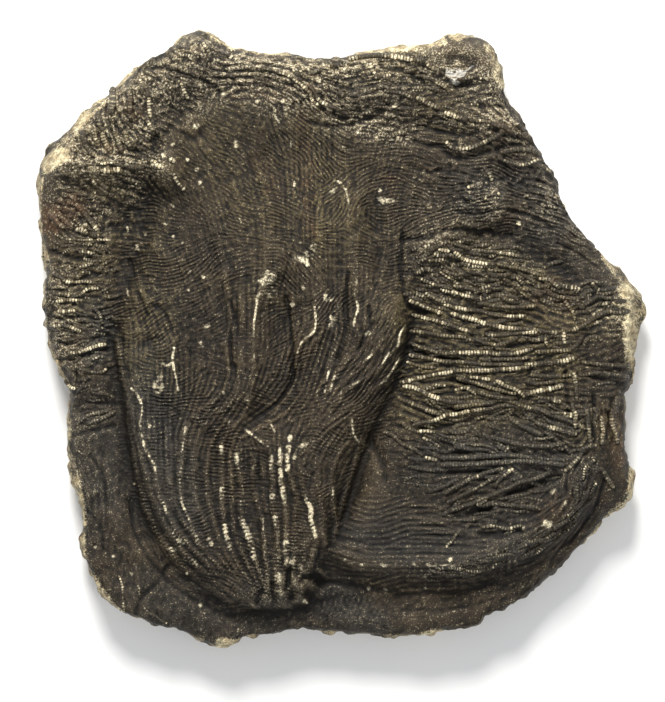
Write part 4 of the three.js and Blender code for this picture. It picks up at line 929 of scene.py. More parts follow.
def zone(points, soft=3.0):
    """1 inside a rounded outline and 0 outside, with a soft edge."""
    closed = round_line(points + points[:1], 2.0)
    x, y = closed.T
    inside = np.zeros(SHAPE, bool)
    area = window(closed, 1)
    gx = GX[area]
    gy = GY[area]
    hit = np.zeros(gx.shape, bool)
    for ax, ay, bx, by in zip(x, y, x[1:], y[1:]):
        if abs(by - ay) < 1e-9:
            continue
        crosses = (gy >= min(ay, by)) & (gy < max(ay, by))
        hit ^= crosses & (gx < ax + (gy - ay) * (bx - ax) / (by - ay))
    inside[area] = hit
    return np.clip(blur(inside.astype(float), soft), 0, 1)


FAN = [(-62, 20), (-66, 34), (-58, 52), (-44, 62), (-26, 72), (-8, 66), (6, 60), (16, 56),
       (24, 44), (22, 28), (18, 14), (8, 4), (-8, -6), (-24, -14), (-36, -18), (-52, -18),
       (-66, -12), (-66, 4)]
CROWN = [(-64, -20), (-60, -50), (-50, -68), (-34, -80), (-14, -80), (-4, -66), (2, -50),
         (8, -34), (18, -16), (20, 0), (8, 8), (-8, 0), (-24, -10), (-40, -14), (-54, -12)]
CIRRI_BED = [(20, 30), (36, 30), (52, 26), (66, 20), (82, 14), (86, 2), (84, -14), (82, -34),
             (74, -42), (66, -52), (52, -58), (36, -60), (28, -50), (16, -40), (8, -30),
             (16, -18), (20, -4), (20, 14)]
UPPER = [(-84, 36), (-84, 54), (-72, 70), (-46, 90), (-20, 84), (10, 84), (34, 80), (44, 78),
         (44, 66), (30, 58), (10, 58), (-8, 66), (-24, 74), (-40, 66), (-52, 54), (-60, 38),
         (-72, 28)]
LEFT_BED = [(-88, 34), (-72, 34), (-66, 20), (-68, 0), (-66, -16), (-72, -26), (-84, -26),
            (-86, -8), (-88, 12)]
LEDGE = [(-80, -30), (-68, -34), (-62, -56), (-50, -72), (-30, -84), (-6, -80), (8, -72),
         (34, -74), (58, -66), (72, -56), (84, -50), (70, -72), (44, -90), (0, -94),
         (-50, -92), (-76, -72), (-84, -44)]
STEM_BED = [(-5, -50), (8, -48), (24, -48), (38, -54), (50, -59), (59, -57), (66, -50), (71, -38),
            (76, -44), (72, -58), (60, -67), (46, -74), (22, -76), (4, -74), (-5, -66)]
SHOULDER = [(24, 30), (40, 32), (62, 28), (80, 20), (84, 24), (72, 48), (58, 66), (46, 80),
            (44, 66), (32, 56), (24, 46)]

IN_FAN = zone(FAN)
IN_CROWN = zone(CROWN, 2)
IN_CIRRI = zone(CIRRI_BED)
IN_UPPER = zone(UPPER)
IN_LEFT = zone(LEFT_BED, 2)
IN_LEDGE = zone(LEDGE)
IN_SHOULDER = zone(SHOULDER)
IN_STEM = zone(STEM_BED, 1.6)


def grain_field(samples, stray):
    """Directions spread from samples, by way of doubled angles, with a little straying."""
    total = np.zeros(SHAPE)
    east = np.zeros(SHAPE)
    north = np.zeros(SHAPE)
    for x, y, turn in samples:
        weight = 1 / ((GX - x) ** 2 + (GY - y) ** 2 + 9) ** 1.6
        total += weight
        east += weight * math.cos(math.radians(2 * turn))
        north += weight * math.sin(math.radians(2 * turn))
    bend = stray * (0.8 * noise(31, 6.0) + 0.6 * noise(32, 2.0))
    return np.arctan2(north / total, east / total) / 2 + bend


def ridges(angle, spacing, seed, rounds=4, length=0.15, bins=10):
    """Wavy parallel ridges that follow a field of directions, grown from noise."""
    fy = np.fft.fftfreq(SHAPE[0], CELL)[:, None]
    fx = np.fft.rfftfreq(SHAPE[1], CELL)[None, :]
    field = np.random.default_rng(seed).standard_normal(SHAPE)
    turns = np.arange(bins) * math.pi / bins
    weights = [np.clip(np.cos(2 * (angle - t)), 0, 1) ** 6 for t in turns]
    total = sum(weights) + 1e-6
    for _ in range(rounds):
        spectrum = np.fft.rfft2(field)
        out = np.zeros(SHAPE)
        for t, weight in zip(turns, weights):
            across = -fx * math.sin(t) + fy * math.cos(t)
            along = fx * math.cos(t) + fy * math.sin(t)
            band = np.exp(-((np.abs(across) * spacing - 1) / 0.2) ** 2 / 2
                          - (along * spacing / length) ** 2 / 2)
            out += weight * np.fft.irfft2(spectrum * band, s=SHAPE)
        out /= total
        field = np.tanh(1.6 * out / out.std())
    return field


def ribbed(lines, pitch):
    """Low ridges along lines: how near the crest each cell is, and the ribs across them."""
    crest = np.zeros(SHAPE)
    ribs = np.zeros(SHAPE)
    for width, line in lines:
        path = round_line(line, 0.7)
        area = window(path, width)
        x = GX[area]
        y = GY[area]
        best = np.full(x.shape, 1e9)
        run = np.zeros(x.shape)
        for k, ((ax, ay), (bx, by)) in enumerate(zip(path, path[1:])):
            dx, dy = bx - ax, by - ay
            size = math.hypot(dx, dy)
            t = np.clip(((x - ax) * dx + (y - ay) * dy) / (size * size), 0, 1)
            d = (x - ax - t * dx) ** 2 + (y - ay - t * dy) ** 2
            closer = d < best
            best[closer] = d[closer]
            run[closer] = (k + t[closer]) * size
        near = np.clip(1 - np.sqrt(best) / (width / 2), 0, 1)
        near *= np.clip((run.max() - run) / 6 + 0.1, 0, 1)
        wave = 0.5 + 0.5 * np.cos(2 * math.pi * (run + 0.25 * np.sqrt(best)) / pitch)
        taller = near > crest[area]
        ribs[area] = np.where(taller, wave, ribs[area])
        crest[area] = np.maximum(crest[area], near)
    return crest, ribs


def tangents(lines, step):
    """Samples of position and direction along drawn lines."""
    found = []
    for line in lines:
        path = round_line(line, step)
        for (ax, ay), (bx, by) in zip(path, path[1:]):
            turn = math.degrees(math.atan2(by - ay, bx - ax))
            found.append(((ax + bx) / 2, (ay + by) / 2, turn))
    return found


ARM_ANGLE = grain_field(ARM_GRAIN + tangents([line for _, line in ARMS], 9), 0.10)
STEM_ANGLE = (grain_field(tangents([line for _, _, line in STEM_STRANDS], 6), 0)
              + 0.2 * noise(34, 5))
GRAIN_ANGLE = grain_field(GRAIN, 0.30)
FINE = ridges(GRAIN_ANGLE, 1.0, 41, rounds=3, length=0.2)
BROAD = ridges(GRAIN_ANGLE + 0.1 * noise(33, 4.0), 2.0, 42, rounds=2, length=0.25)
PLUMES = ridges(ARM_ANGLE, 4.2, 43, rounds=3, length=0.12)
ARM_HAIR = ridges(ARM_ANGLE, 1.5, 44, rounds=3, length=0.09)
STEM_HAIR = ridges(STEM_ANGLE, 1.5, 45, rounds=3, length=0.07)
CREASES = np.exp(-(ridges(ARM_ANGLE, 6.5, 46, rounds=3, length=0.08) / 0.16) ** 2)
CREASES *= np.clip(0.4 + 0.6 * noise(47, 5), 0, 1.2)
GRIT = rough(51, 0.7, 3)
CRUMBS = smooth_step(1.2, 2.4, noise(52, 0.42))
PITS = smooth_step(0.6, 1.7, noise(53, 0.42))
LUMPS = rough(55, 4.5, 4)
ARM_CREST, ARM_RIBS = ribbed(ARMS, 1.1)
STEM_CREST, STEM_RIBS = ribbed([(w, line) for w, _, line in STEM_STRANDS], 1.0)
SLANT_CREST, SLANT_RIBS = ribbed(
    [(1.5, [(-6 + 1.75 * k, -76.5 - 0.1 * k), (-4.4 + 1.75 * k, -82), (-1.6 + 1.8 * k, -88.6)])
     for k in range(10)], 0.9)
LOW = smooth_step(-30, -50, GY)

# Pale crests: partly worn bone, partly a painted highlight along the crests of arms, stem strands
# and blocks.
WORN_AND_HIGHLIGHT = paint(np.zeros(SHAPE), [(s, w * (1.1 if w > 0.56 else 0.66), line)
                               for s, w, line in WORN_AND_LIT_CRESTS], edge=0.6)
WORN_AND_HIGHLIGHT *= np.clip(0.82 + 0.4 * noise(65, 1.9), 0.2, 1.1)
WORN_AND_HIGHLIGHT = paint(WORN_AND_HIGHLIGHT, [(1.4 * s + 0.05, 0.3 * w, line) for w, s, line in STEM_STRANDS], edge=0.8)
WORN_AND_HIGHLIGHT *= 1 - IN_STEM * (1 - np.clip(0.15 + 0.9 * noise(68, 0.42), 0, 1.2))
WORN_AND_HIGHLIGHT *= 1 - 0.6 * IN_CROWN * smooth_step(-61, -70, GY)
WORN_AND_HIGHLIGHT = paint(WORN_AND_HIGHLIGHT, [(0.5 * rise, 0.75 * half, line) for rise, half, line in BLOCKS if rise > 0.7])
WORN_AND_HIGHLIGHT = paint(WORN_AND_HIGHLIGHT, SPECKS)
CRACKS = heap(GROOVES)
FOLD = heap(FOLDS) + heap(BLOCKS)
BUFF = paint(np.zeros(SHAPE), BUFF_RIM, edge=0.45)
BUFF *= np.clip(0.92 + 0.36 * rough(66, 2.6, 4), 0, 1.3)
RUSTY = paint(np.zeros(SHAPE), RUST, edge=0.9)
GOLDEN = paint(np.zeros(SHAPE), GOLD, edge=0.9)
GOLDEN = np.clip(GOLDEN + 0.3 * IN_FAN * np.clip(0.5 + 0.6 * noise(56, 7), 0, 1.2), 0, 1)
GREYED = paint(np.zeros(SHAPE), GREY, edge=0.9)
DUST = paint(np.zeros(SHAPE), DUSTY, edge=0.9)
DUST = np.clip(DUST + 0.34 * IN_SHOULDER * np.clip(0.5 + 0.7 * noise(69, 2.4), 0, 1.3), 0, 1)

TONE_AND_SHADE = paint(np.zeros(SHAPE), TONE_AND_SHADE_PATCHES, add=True, edge=0.9)
# Painted highlight: lighter along the fine hair ridges of the fan.
TONE_AND_SHADE += 0.9 * ARM_HAIR * IN_FAN * np.clip(0.4 + 0.6 * noise(57, 3), 0, 1.4)

# Pinnules are finest on the fan, broken into grit in the beds, and faint on the plain matrix.
BODY_RIDGES = np.clip(IN_FAN + IN_CROWN, 0, 1)
PITS *= np.clip(IN_UPPER + IN_LEFT + IN_SHOULDER + 0.5 * IN_CIRRI + 0.3 * BODY_RIDGES, 0, 1)
FINE_RISE = (0.06 + 0.09 * BODY_RIDGES + 0.05 * IN_LEFT + 0.03 * IN_CIRRI + 0.06 * IN_UPPER
             + 0.11 * IN_SHOULDER - 0.04 * IN_STEM)
FINE_RISE *= np.clip(0.9 + 0.45 * noise(61, 1.4), 0.1, 1.9)
BROAD_RISE = (0.04 + 0.02 * BODY_RIDGES + 0.14 * IN_CIRRI + 0.12 * IN_LEFT + 0.10 * IN_UPPER
              + 0.12 * IN_SHOULDER + 0.05 * IN_LEDGE)
BROAD_RISE *= np.clip(0.9 + 0.4 * noise(62, 5), 0, 2)
GRIT_RISE = (0.05 + 0.03 * BODY_RIDGES + 0.09 * IN_CIRRI + 0.14 * IN_UPPER + 0.08 * IN_LEFT
             + 0.03 * IN_LEDGE + 0.12 * IN_SHOULDER)
CRUMB_RISE = 0.06 + 0.2 * IN_UPPER + 0.1 * IN_LEFT + 0.1 * IN_CIRRI + 0.14 * IN_SHOULDER
NEAR_RIM = 1 - smooth_step(1.0, 6.0, RIM_AWAY)
LUMP_RISE = 0.22 + 0.10 * IN_UPPER + 0.12 * IN_LEDGE + 0.3 * NEAR_RIM
HAIR = (ARM_HAIR * (0.13 * IN_CROWN * (1 - 0.85 * LOW) + 0.04 * IN_FAN)
        + STEM_HAIR * 0.15 * IN_STEM - 0.22 * CREASES * BODY_RIDGES)
ARM_BODY = ARM_CREST * (0.72 + (0.15 + 0.36 * LOW) * ARM_RIBS)
ARM_BODY *= np.clip(0.75 + 0.3 * noise(63, 1.8), 0.2, 1.6)
STEM_BODY = 0.2 * smooth_step(0.0, 0.5, STEM_CREST) + 0.12 * STEM_CREST + 0.04 * STEM_RIBS
STEM_BODY *= np.clip(0.8 + 0.55 * noise(67, 2.4), 0, 2)
RELIEF = (GROUND + FOLD - CRACKS
          + ARM_BODY + STEM_BODY + SLANT_CREST * (0.3 + 0.15 * SLANT_RIBS) + HAIR
          + PLUMES * 0.07 * IN_FAN
          + FINE * FINE_RISE + BROAD * BROAD_RISE + GRIT * GRIT_RISE + CRUMBS * CRUMB_RISE
          + 0.16 * WORN_AND_HIGHLIGHT - 0.2 * PITS + BUFF * (0.1 + 0.22 * GRIT) + LUMPS * LUMP_RISE)

# How hollow each place is, in the small and in the large; the painted shade of hollows and the
# painted highlight of crests come from these.
HOLLOW = np.clip((blur(RELIEF, 0.7) - RELIEF) / 0.17, -1, 1)
DEEP = np.clip((blur(RELIEF, 3.0) - RELIEF) / 1.5, -0.8, 0.8) * smooth_step(0.0, 6.0, RIM_AWAY)
BARS = np.where(ARM_CREST > 0.05, ARM_RIBS, 0.6)
WORN_AND_HIGHLIGHT *= np.clip((1 - LOW) * (0.55 + 0.25 * BARS) + LOW * (0.12 + 0.95 * BARS)
                + 0.4 * noise(64, 0.4), 0.05, 1.1)


# ---------------------------------------------------------------------------------------------
# Meshes.
# ---------------------------------------------------------------------------------------------
def build(name, spots, faces, coats, material):
    """A smooth-shaded mesh from millimetre spots, lists of quads and triangles, and coats."""
    corners = np.concatenate([f.ravel() for f in faces]).astype(np.int32)
    sizes = np.concatenate([np.full(len(f), f.shape[1]) for f in faces])
    starts = np.concatenate([[0], np.cumsum(sizes)[:-1]]).astype(np.int32)
    mesh = bpy.data.meshes.new(name)
    mesh.vertices.add(len(spots))
    mesh.loops.add(len(corners))
    mesh.polygons.add(len(starts))
    place = spots.copy()
    place[:, :2] += DATUM
    mesh.vertices.foreach_set("co", (place * MM).astype(np.float32).ravel())
    mesh.loops.foreach_set("vertex_index", corners)
    mesh.polygons.foreach_set("loop_start", starts)
    mesh.update(calc_edges=True)
    mesh.polygons.foreach_set("use_smooth", np.ones(len(starts), bool))
    for key, values in coats.items():
        layer = mesh.attributes.new(key, "FLOAT_COLOR", "POINT")
        layer.data.foreach_set("color", np.clip(values, 0, 1).astype(np.float32).ravel())
    mesh.materials.append(material)
    piece = bpy.data.objects.new(name, mesh)
    bpy.context.scene.collection.objects.link(piece)
    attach(piece, BODY)
    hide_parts(NODE)
    return piece


def face_coats(x, y):
    """What the surface is made of at points of the face, from the painted rasters, with painted
    shade in hollows and pits and painted highlight on crests.
    """
    worn_and_highlight = sample(WORN_AND_HIGHLIGHT, x, y)
    gold = sample(GOLDEN, x, y)
    rust = sample(RUSTY, x, y)
    buff = sample(BUFF, x, y)
    hollow = sample(HOLLOW, x, y)
    deep = sample(DEEP, x, y)
    dust = sample(DUST, x, y)
    grey = sample(GREYED, x, y)
    # Painted shade: darker in small and broad hollows and in pits, moved by the tone-and-shade
    # patches, and lighter on the buff rim.
    dark_and_shade = np.clip(0.42 + 0.46 * hollow + 0.42 * deep + 0.3 * sample(PITS, x, y), 0, 1)
    dark_and_shade = (dark_and_shade - 0.22 * sample(TONE_AND_SHADE, x, y)) * (1 - 0.4 * np.clip(buff, 0, 1))
    # Painted highlight: raised places and crumbs get a higher crest value, which the material
    # paints lighter.
    crest = np.clip(0.25 - 0.6 * hollow + 0.5 * sample(CRUMBS, x, y), 0, 1)
    return {
        "coat_a": np.column_stack([worn_and_highlight, gold, rust, buff]),
        "coat_b": np.column_stack([dark_and_shade, crest, grey, dust]),
    }


def square_map(outline, half, crowd=1.0):
    """A square grid of 2 half + 1 points a side, mapped into an outline: spots, quads, rim.

    outline gives a point for a share of the way round; rim lists the border spots in order.
    """
    steps = np.arange(-half, half + 1)
    u, v = np.meshgrid(steps, steps)
    ring = np.maximum(np.abs(u), np.abs(v))
    safe = np.maximum(ring, 1)
    side = np.where((u == -ring) & (v < ring), 2, 3)
    side = np.where((v == ring) & (u < ring), 1, side)
    side = np.where((u == ring) & (v > -ring), 0, side)
    along = np.choose(side, [v + ring, ring - u, ring - v, u + ring])
    share = (side * 2 * safe + along) / (8 * safe) - 0.125
    place = outline(share.ravel() % 1.0)
    reach = ((ring / half) ** crowd).ravel()[:, None]
    spots = place * reach
    n = 2 * half + 1
    index = np.arange(n * n).reshape(n, n)
    quads = np.stack([index[:-1, :-1], index[:-1, 1:], index[1:, 1:], index[1:, :-1]], -1)
    rim = np.concatenate([index[:-1, -1], index[-1, :0:-1], index[:0:-1, 0], index[0, :-1]])
    return spots, quads.reshape(-1, 4), rim


def ring_quads(lower, upper):
    """Quads between two rings of the same count, facing outwards when upper is above."""
    return np.stack([lower, np.roll(lower, -1), np.roll(upper, -1), upper], -1)


def slab_outline(share):
    """The CAD outline, chipped a little in and out."""
    turn = np.asarray(share)
    run = turn * OUTLINE_RUN[-1]
    place = np.column_stack([np.interp(run, OUTLINE_RUN, OUTLINE[:, k]) for k in range(2)])
    chips = np.interp(turn, np.linspace(0, 1, 2049), np.append(CHIPS, CHIPS[:1]))
    return place * (1 + chips / np.hypot(*place.T))[:, None]


def seamless(seed, count, scale, octaves=3, fall=0.8):
    """Fractal noise round a closed ring, from about scale waves a turn upwards."""
    waves = np.fft.rfftfreq(count, 1 / count)
    share = np.where(waves < scale / 2, 0, 1 / np.maximum(waves, 1) ** fall)
    share = share * np.exp(-(waves / (scale * 2.0 ** octaves)) ** 2)
    field = np.random.default_rng(seed).standard_normal(count)
    field = np.fft.irfft(np.fft.rfft(field) * share, n=count)
    return field / field.std()


CHIPS = np.clip(0.42 * seamless(70, 2048, 20, 5, 1.25), -1.3, 0.9)


def soften(ring, waves):
    """Keep the slow bends of a closed ring of points."""
    turns = np.abs(np.fft.fftfreq(len(ring), 1 / len(ring)))
    keep = np.exp(-(turns / waves) ** 2)
    return np.fft.ifft(np.fft.fft(ring, axis=0) * keep[:, None], axis=0).real


def patch_region(name, middle, points, half):
    """A finer patch of the face: a ring of points about a middle, kept inside the rim."""
    middle = np.array(middle, float)
    ring = round_line([tuple(p) for p in points] + [tuple(points[0])], 0.8) - middle
    ring = ring[np.argsort(np.arctan2(ring[:, 1], ring[:, 0]))]
    for _ in range(40):
        close = sample(RIM_AWAY, *(ring + middle).T) < 1.8
        ring = np.where(close[:, None], 0.992 * ring, ring)
    closed, run = closed_ring(ring)
    return name, middle, closed, run, half


def patch_away(middle, closed):
    """How far inside a patch's border each cell is."""
    border = closed + middle
    area = window(border, 2)
    away = np.full(SHAPE, -2.0)
    here = distance(border, area)
    turn = np.arctan2(GY[area] - middle[1], GX[area] - middle[0])
    reach = np.hypot(GX[area] - middle[0], GY[area] - middle[1])
    angles = np.arctan2(closed[:-1, 1], closed[:-1, 0])
    radii = np.hypot(closed[:-1, 0], closed[:-1, 1])
    limit = np.interp(turn, angles, radii, period=2 * math.pi)
    away[area] = np.where(reach < limit, here, -here)
    return away


def merge(coats):
    """One set of coats from several, in order."""
    return {key: np.vstack([part[key] for part in coats]) for key in coats[0]}


def plain_coats(count, rust, buff, dark_and_shade, grey, dust):
    """Coats of broken stone, away from the fossil."""
    none = np.zeros(count)
    return {
        "coat_a": np.column_stack([none, none, none + rust, none + buff]),
        "coat_b": np.column_stack([none + dark_and_shade, none + 0.4, none + grey, none + dust]),
    }


def add_patch(name, middle, closed, run, half, material, lift=0.0):
    """A closed piece with a fine face; with a lift it stands proud as a crust."""
    def outline(share):
        at = np.asarray(share) * run[-1]
        return np.column_stack([np.interp(at, run, closed[:, k]) for k in range(2)])

    flat, quads, rim = square_map(outline, half)
    flat = flat + middle
    x, y = flat.T
    away = sample(patch_away(middle, closed), x, y)
    away[rim] = 0
    if lift:
        height = sample(blur(RELIEF, 2.6), x, y)
        height += (lift + 0.5) * smooth_step(0, 0.9, away) - 0.5
        height += 0.16 * sample(GRIT, x, y) * smooth_step(0, 0.6, away)
    else:
        height = sample(RELIEF, x, y) - 0.7 * (1 - smooth_step(0, 1.3, away))
    coats = face_coats(x, y)
    count = len(rim)
    foot = np.column_stack([flat[rim], np.full(count, PATCH_FOOT)])
    under = len(flat) + np.arange(count)
    centre = len(flat) + count
    spots = np.vstack([np.column_stack([flat, height]), foot,
                       [[middle[0], middle[1], PATCH_FOOT]]])
    cap = np.stack([np.full(count, centre), np.roll(under, -1), under], -1)
    lower = {key: np.vstack([coats[key][rim], coats[key][rim[:1]]]) for key in coats}
    return build(name, spots, [quads, ring_quads(under, rim), cap], merge([coats, lower]),
                 material)


# Rings down the broken side: height, and how far each stands out from the outline.
SIDE_RINGS = [
    (8.5, 0.25), (7.4, 0.3), (6.2, 0.05), (5.0, -0.35), (3.9, -0.8), (2.9, -1.3), (2.0, -1.9),
    (1.2, -2.5), (0.6, -3.2), (0.15, -4.1), (0.05, -5.0),
]


def slab_side(edge, coarse, first):
    """The broken side below an edge: its spots, rings of their numbers from first on, coats."""
    count = len(edge)
    outward = np.roll(edge, -1, axis=0) - np.roll(edge, 1, axis=0)
    outward = np.column_stack([outward[:, 1], -outward[:, 0]])
    outward /= np.hypot(*outward.T)[:, None]
    slow_edge = soften(edge, 22)
    slow_outward = soften(outward, 14)
    slow_outward /= np.hypot(*slow_outward.T)[:, None]
    fine = seamless(72, count, 160)
    buff_edge = sample(blur(BUFF, 2.0), edge[:, 0], edge[:, 1])
    rng = np.random.default_rng(73)
    spots = []
    rings = []
    coats = []
    for number, (z, out) in enumerate(SIDE_RINGS):
        ledge = 0.35 * seamless(80 + number, count, 50, 3, 1.3) + 0.2 * coarse + 0.12 * fine
        fade = 1.0 if number < 8 else 0.35
        slow = smooth_step(0.8, 4.4, -out)
        way = outward + (slow_outward - outward) * slow
        place = edge + (slow_edge - edge) * slow + way * (out + ledge * fade)[:, None]
        lift = z + 0.22 * fade * seamless(120 + number, count, 50) * (number < 9)
        spots.append(np.column_stack([place, np.maximum(lift, 0.02)]))
        rings.append(first + number * count + np.arange(count))
        buff = np.clip(0.5 + 0.6 * buff_edge + 0.1 * coarse
                       + 0.2 * seamless(160 + number, count, 40), 0, 1)
        dark_and_shade = np.clip(0.3 + 0.25 * seamless(140 + number, count, 80), 0, 1)
        coats.append(plain_coats(count, 0.25 + 0.2 * fine, buff, dark_and_shade, 0.3,
                                 0.2 + 0.2 * rng.random(count)))
    return spots, rings, coats


def slab_underside(inner, last, total):
    """Rings that shrink from a ring to its middle, with half as many spots now and then."""
    middle = inner.mean(0)
    spots = []
    faces = []
    coats = []
    scale = 1.0
    while scale > 0.05:
        crowded = len(last) > 40 and len(last) > 1200 * scale
        if crowded:
            inner = inner[::2]
        ring = total + np.arange(len(inner))
        if crowded:
            after = np.roll(ring, -1)
            faces.append(np.stack([last[0::2], ring, after], -1))
            faces.append(np.stack([last[0::2], after, last[1::2]], -1))
            faces.append(np.stack([last[1::2], after, np.roll(last[0::2], -1)], -1))
        else:
            faces.append(ring_quads(ring, last))
        scale *= 0.93
        place = middle + (inner - middle) * scale
        mottle = sample(LUMPS, place[:, 0], place[:, 1])
        z = np.abs(0.22 + 0.2 * mottle + 0.05 * sample(GRIT, place[:, 0], place[:, 1]))
        spots.append(np.column_stack([place, z * min(1, (1 - scale) * 4)]))
        coats.append(plain_coats(len(place), 0.25 + 0.15 * mottle, 0.62 + 0.16 * mottle,
                                 np.clip(0.3 - 0.15 * mottle, 0, 1), 0.4, 0.3))
        total += len(place)
        last = ring
    spots.append(np.array([[middle[0], middle[1], 0.2]]))
    coats.append(plain_coats(1, 0.25, 0.6, 0.3, 0.4, 0.3))
    faces.append(np.stack([np.full(len(last), total), np.roll(last, -1), last], -1))
    return spots, faces, coats


def add_slab(half, material):
    """The slab itself: its face, sunk below the finer patches, its side and its underside."""
    flat, quads, rim = square_map(slab_outline, half, 0.75)
    x, y = flat.T
    height = sample(RELIEF, x, y)
    inside = np.full(len(flat), -2.0)
    for _, middle, closed, _, _ in PATCHES:
        inside = np.maximum(inside, sample(patch_away(middle, closed), x, y))
    height -= FACE_SUNK * smooth_step(0.9, 2.6, inside)
    coarse = seamless(71, len(rim), 36, 3, 1.3)
    height[rim] = BULGE_HEIGHT + 0.8 + 0.5 * coarse
    side_spots, side_rings, side_coats = slab_side(flat[rim], coarse, len(flat))
    under_spots, under_faces, under_coats = slab_underside(
        side_spots[-1][:, :2], side_rings[-1], len(flat) + len(side_rings) * len(rim))
    rings = [rim] + side_rings
    faces = [quads] + [ring_quads(lower, upper) for upper, lower in zip(rings, rings[1:])]
    spots = [np.column_stack([flat, height])] + side_spots + under_spots
    coats = [face_coats(x, y)] + side_coats + under_coats
    return build("slab", np.vstack(spots), faces + under_faces, merge(coats), material)


# ---------------------------------------------------------------------------------------------
# Strands: arms, cirri and other rods made of ossicles.
# ---------------------------------------------------------------------------------------------
TOP = RELIEF.copy()  # the relief with the rods that lie on it so far
SECTION = np.radians([-32, 0, 32, 64, 90, 116, 148, 180, 212])
PATH_STEP = 0.3


def ossicles(rng, length, pitch, groove, full):
    """Stations along a rod: their run, swelling, whether at a joint, and ossicle's brightness."""
    count = max(2, int(round(length / pitch)))
    joints = np.linspace(0, length, count + 1)
    joints[1:-1] += rng.uniform(-0.12, 0.12, count - 1) * pitch
    picks = np.clip(rng.normal(0.5, 0.28, count), 0, 1)
    fat = 1 + rng.normal(0, 0.05, count)
    shares = np.array([0.0, 0.24, 0.76] if full else [0.0, 0.5])
    at_joint = np.tile(shares == 0, count)
    stations = (joints[:-1, None] + shares * np.diff(joints)[:, None]).ravel()
    swell = np.where(at_joint, groove, np.repeat(fat, len(shares)))
    tag = np.repeat(picks, len(shares))
    return (np.append(stations, length), np.append(swell, groove),
            np.append(at_joint, True).astype(float), np.append(tag, picks[-1]), len(shares))


def rod_level(x, y, sx, sy, width, span):
    """Height of the ground under a rod, evened out along it."""
    ground = np.max([sample(TOP, x + k * sx * width / 2, y + k * sy * width / 2)
                     for k in (-0.6, 0, 0.6)], axis=0)
    kernel = np.hanning(span + 2)[1:-1]
    kernel /= kernel.sum()
    padded = np.pad(ground, span, mode="edge")
    smooth = np.convolve(padded, kernel, mode="same")[span:-span]
    return 0.65 * smooth + 0.35 * ground


def rod_faces(rows, points, first):
    """Quads round a rod, and the triangles that close its two ends."""
    ring = first + np.arange(rows * points).reshape(rows, points)
    after = np.roll(ring, -1, 1)
    quads = np.stack([ring[:-1], ring[1:], after[1:], after[:-1]], -1)
    start = np.stack([np.full(points - 2, ring[0, 0]), ring[0, 1:-1], ring[0, 2:]], -1)
    final = np.stack([np.full(points - 2, ring[-1, 0]), ring[-1, 2:], ring[-1, 1:-1]], -1)
    return quads.reshape(-1, 4)[:, ::-1], [start[:, ::-1], final[:, ::-1]]


def rod_coats(px, py, joint, tag, spells, bright):
    """The top of each ossicle carries the wear and a painted highlight; joints stay dark, and the
    sides and underside get painted shade.
    """
    sin = np.sin(SECTION)[None, :]
    none = np.zeros_like(px)
    # Painted highlight: crest is the upward-facing part of each ossicle.
    crest = np.clip(1.6 * sin - 0.35, 0, 1) * (1 - 0.85 * joint[:, None])
    crest = crest * np.clip(spells[:, None], 0.06, 1)
    wear_and_highlight = bright * np.clip(0.15 + 1.2 * tag[:, None], 0, 1.1) * crest
    # Painted sheen: more bronze on the tops.
    gold = np.clip(sample(GOLDEN, px, py) + 0.35 * bright, 0, 1) * (0.35 + 0.65 * crest)
    # Painted shade: darker down the sides and underneath, and darker at joints.
    dark_and_shade = np.clip(0.62 - 0.62 * np.clip(sin, -0.3, 1) + 0.5 * joint[:, None], 0, 1)
    dark_and_shade = dark_and_shade - 0.22 * sample(TONE_AND_SHADE, px, py)
    coat_a = [wear_and_highlight + none, gold + none, sample(RUSTY, px, py), none]
    coat_b = [dark_and_shade, crest + none, sample(GREYED, px, py), none + 0.3 * tag[:, None]]
    return {"coat_a": np.stack(coat_a, -1).reshape(-1, 4),
            "coat_b": np.stack(coat_b, -1).reshape(-1, 4)}


def lay(path, height, width, flat):
    """Raises TOP over a rod, so that later ones lie on it."""
    area = window(path, width)
    away = distance(path[::3] if len(path) > 6 else path, area) / (width / 2)
    near = np.zeros(away.shape)
    best = np.full(away.shape, 1e9)
    gx = GX[area]
    gy = GY[area]
    for k in range(0, len(path), 2):
        d = (gx - path[k, 0]) ** 2 + (gy - path[k, 1]) ** 2
        closer = d < best
        near[closer] = height[k]
        best[closer] = d[closer]
    dome = np.sqrt(np.clip(1 - away ** 2, 0, 1))
    body = np.where(away < 1, near - flat * width * (1 - dome), -99)
    TOP[area] = np.maximum(TOP[area], body)


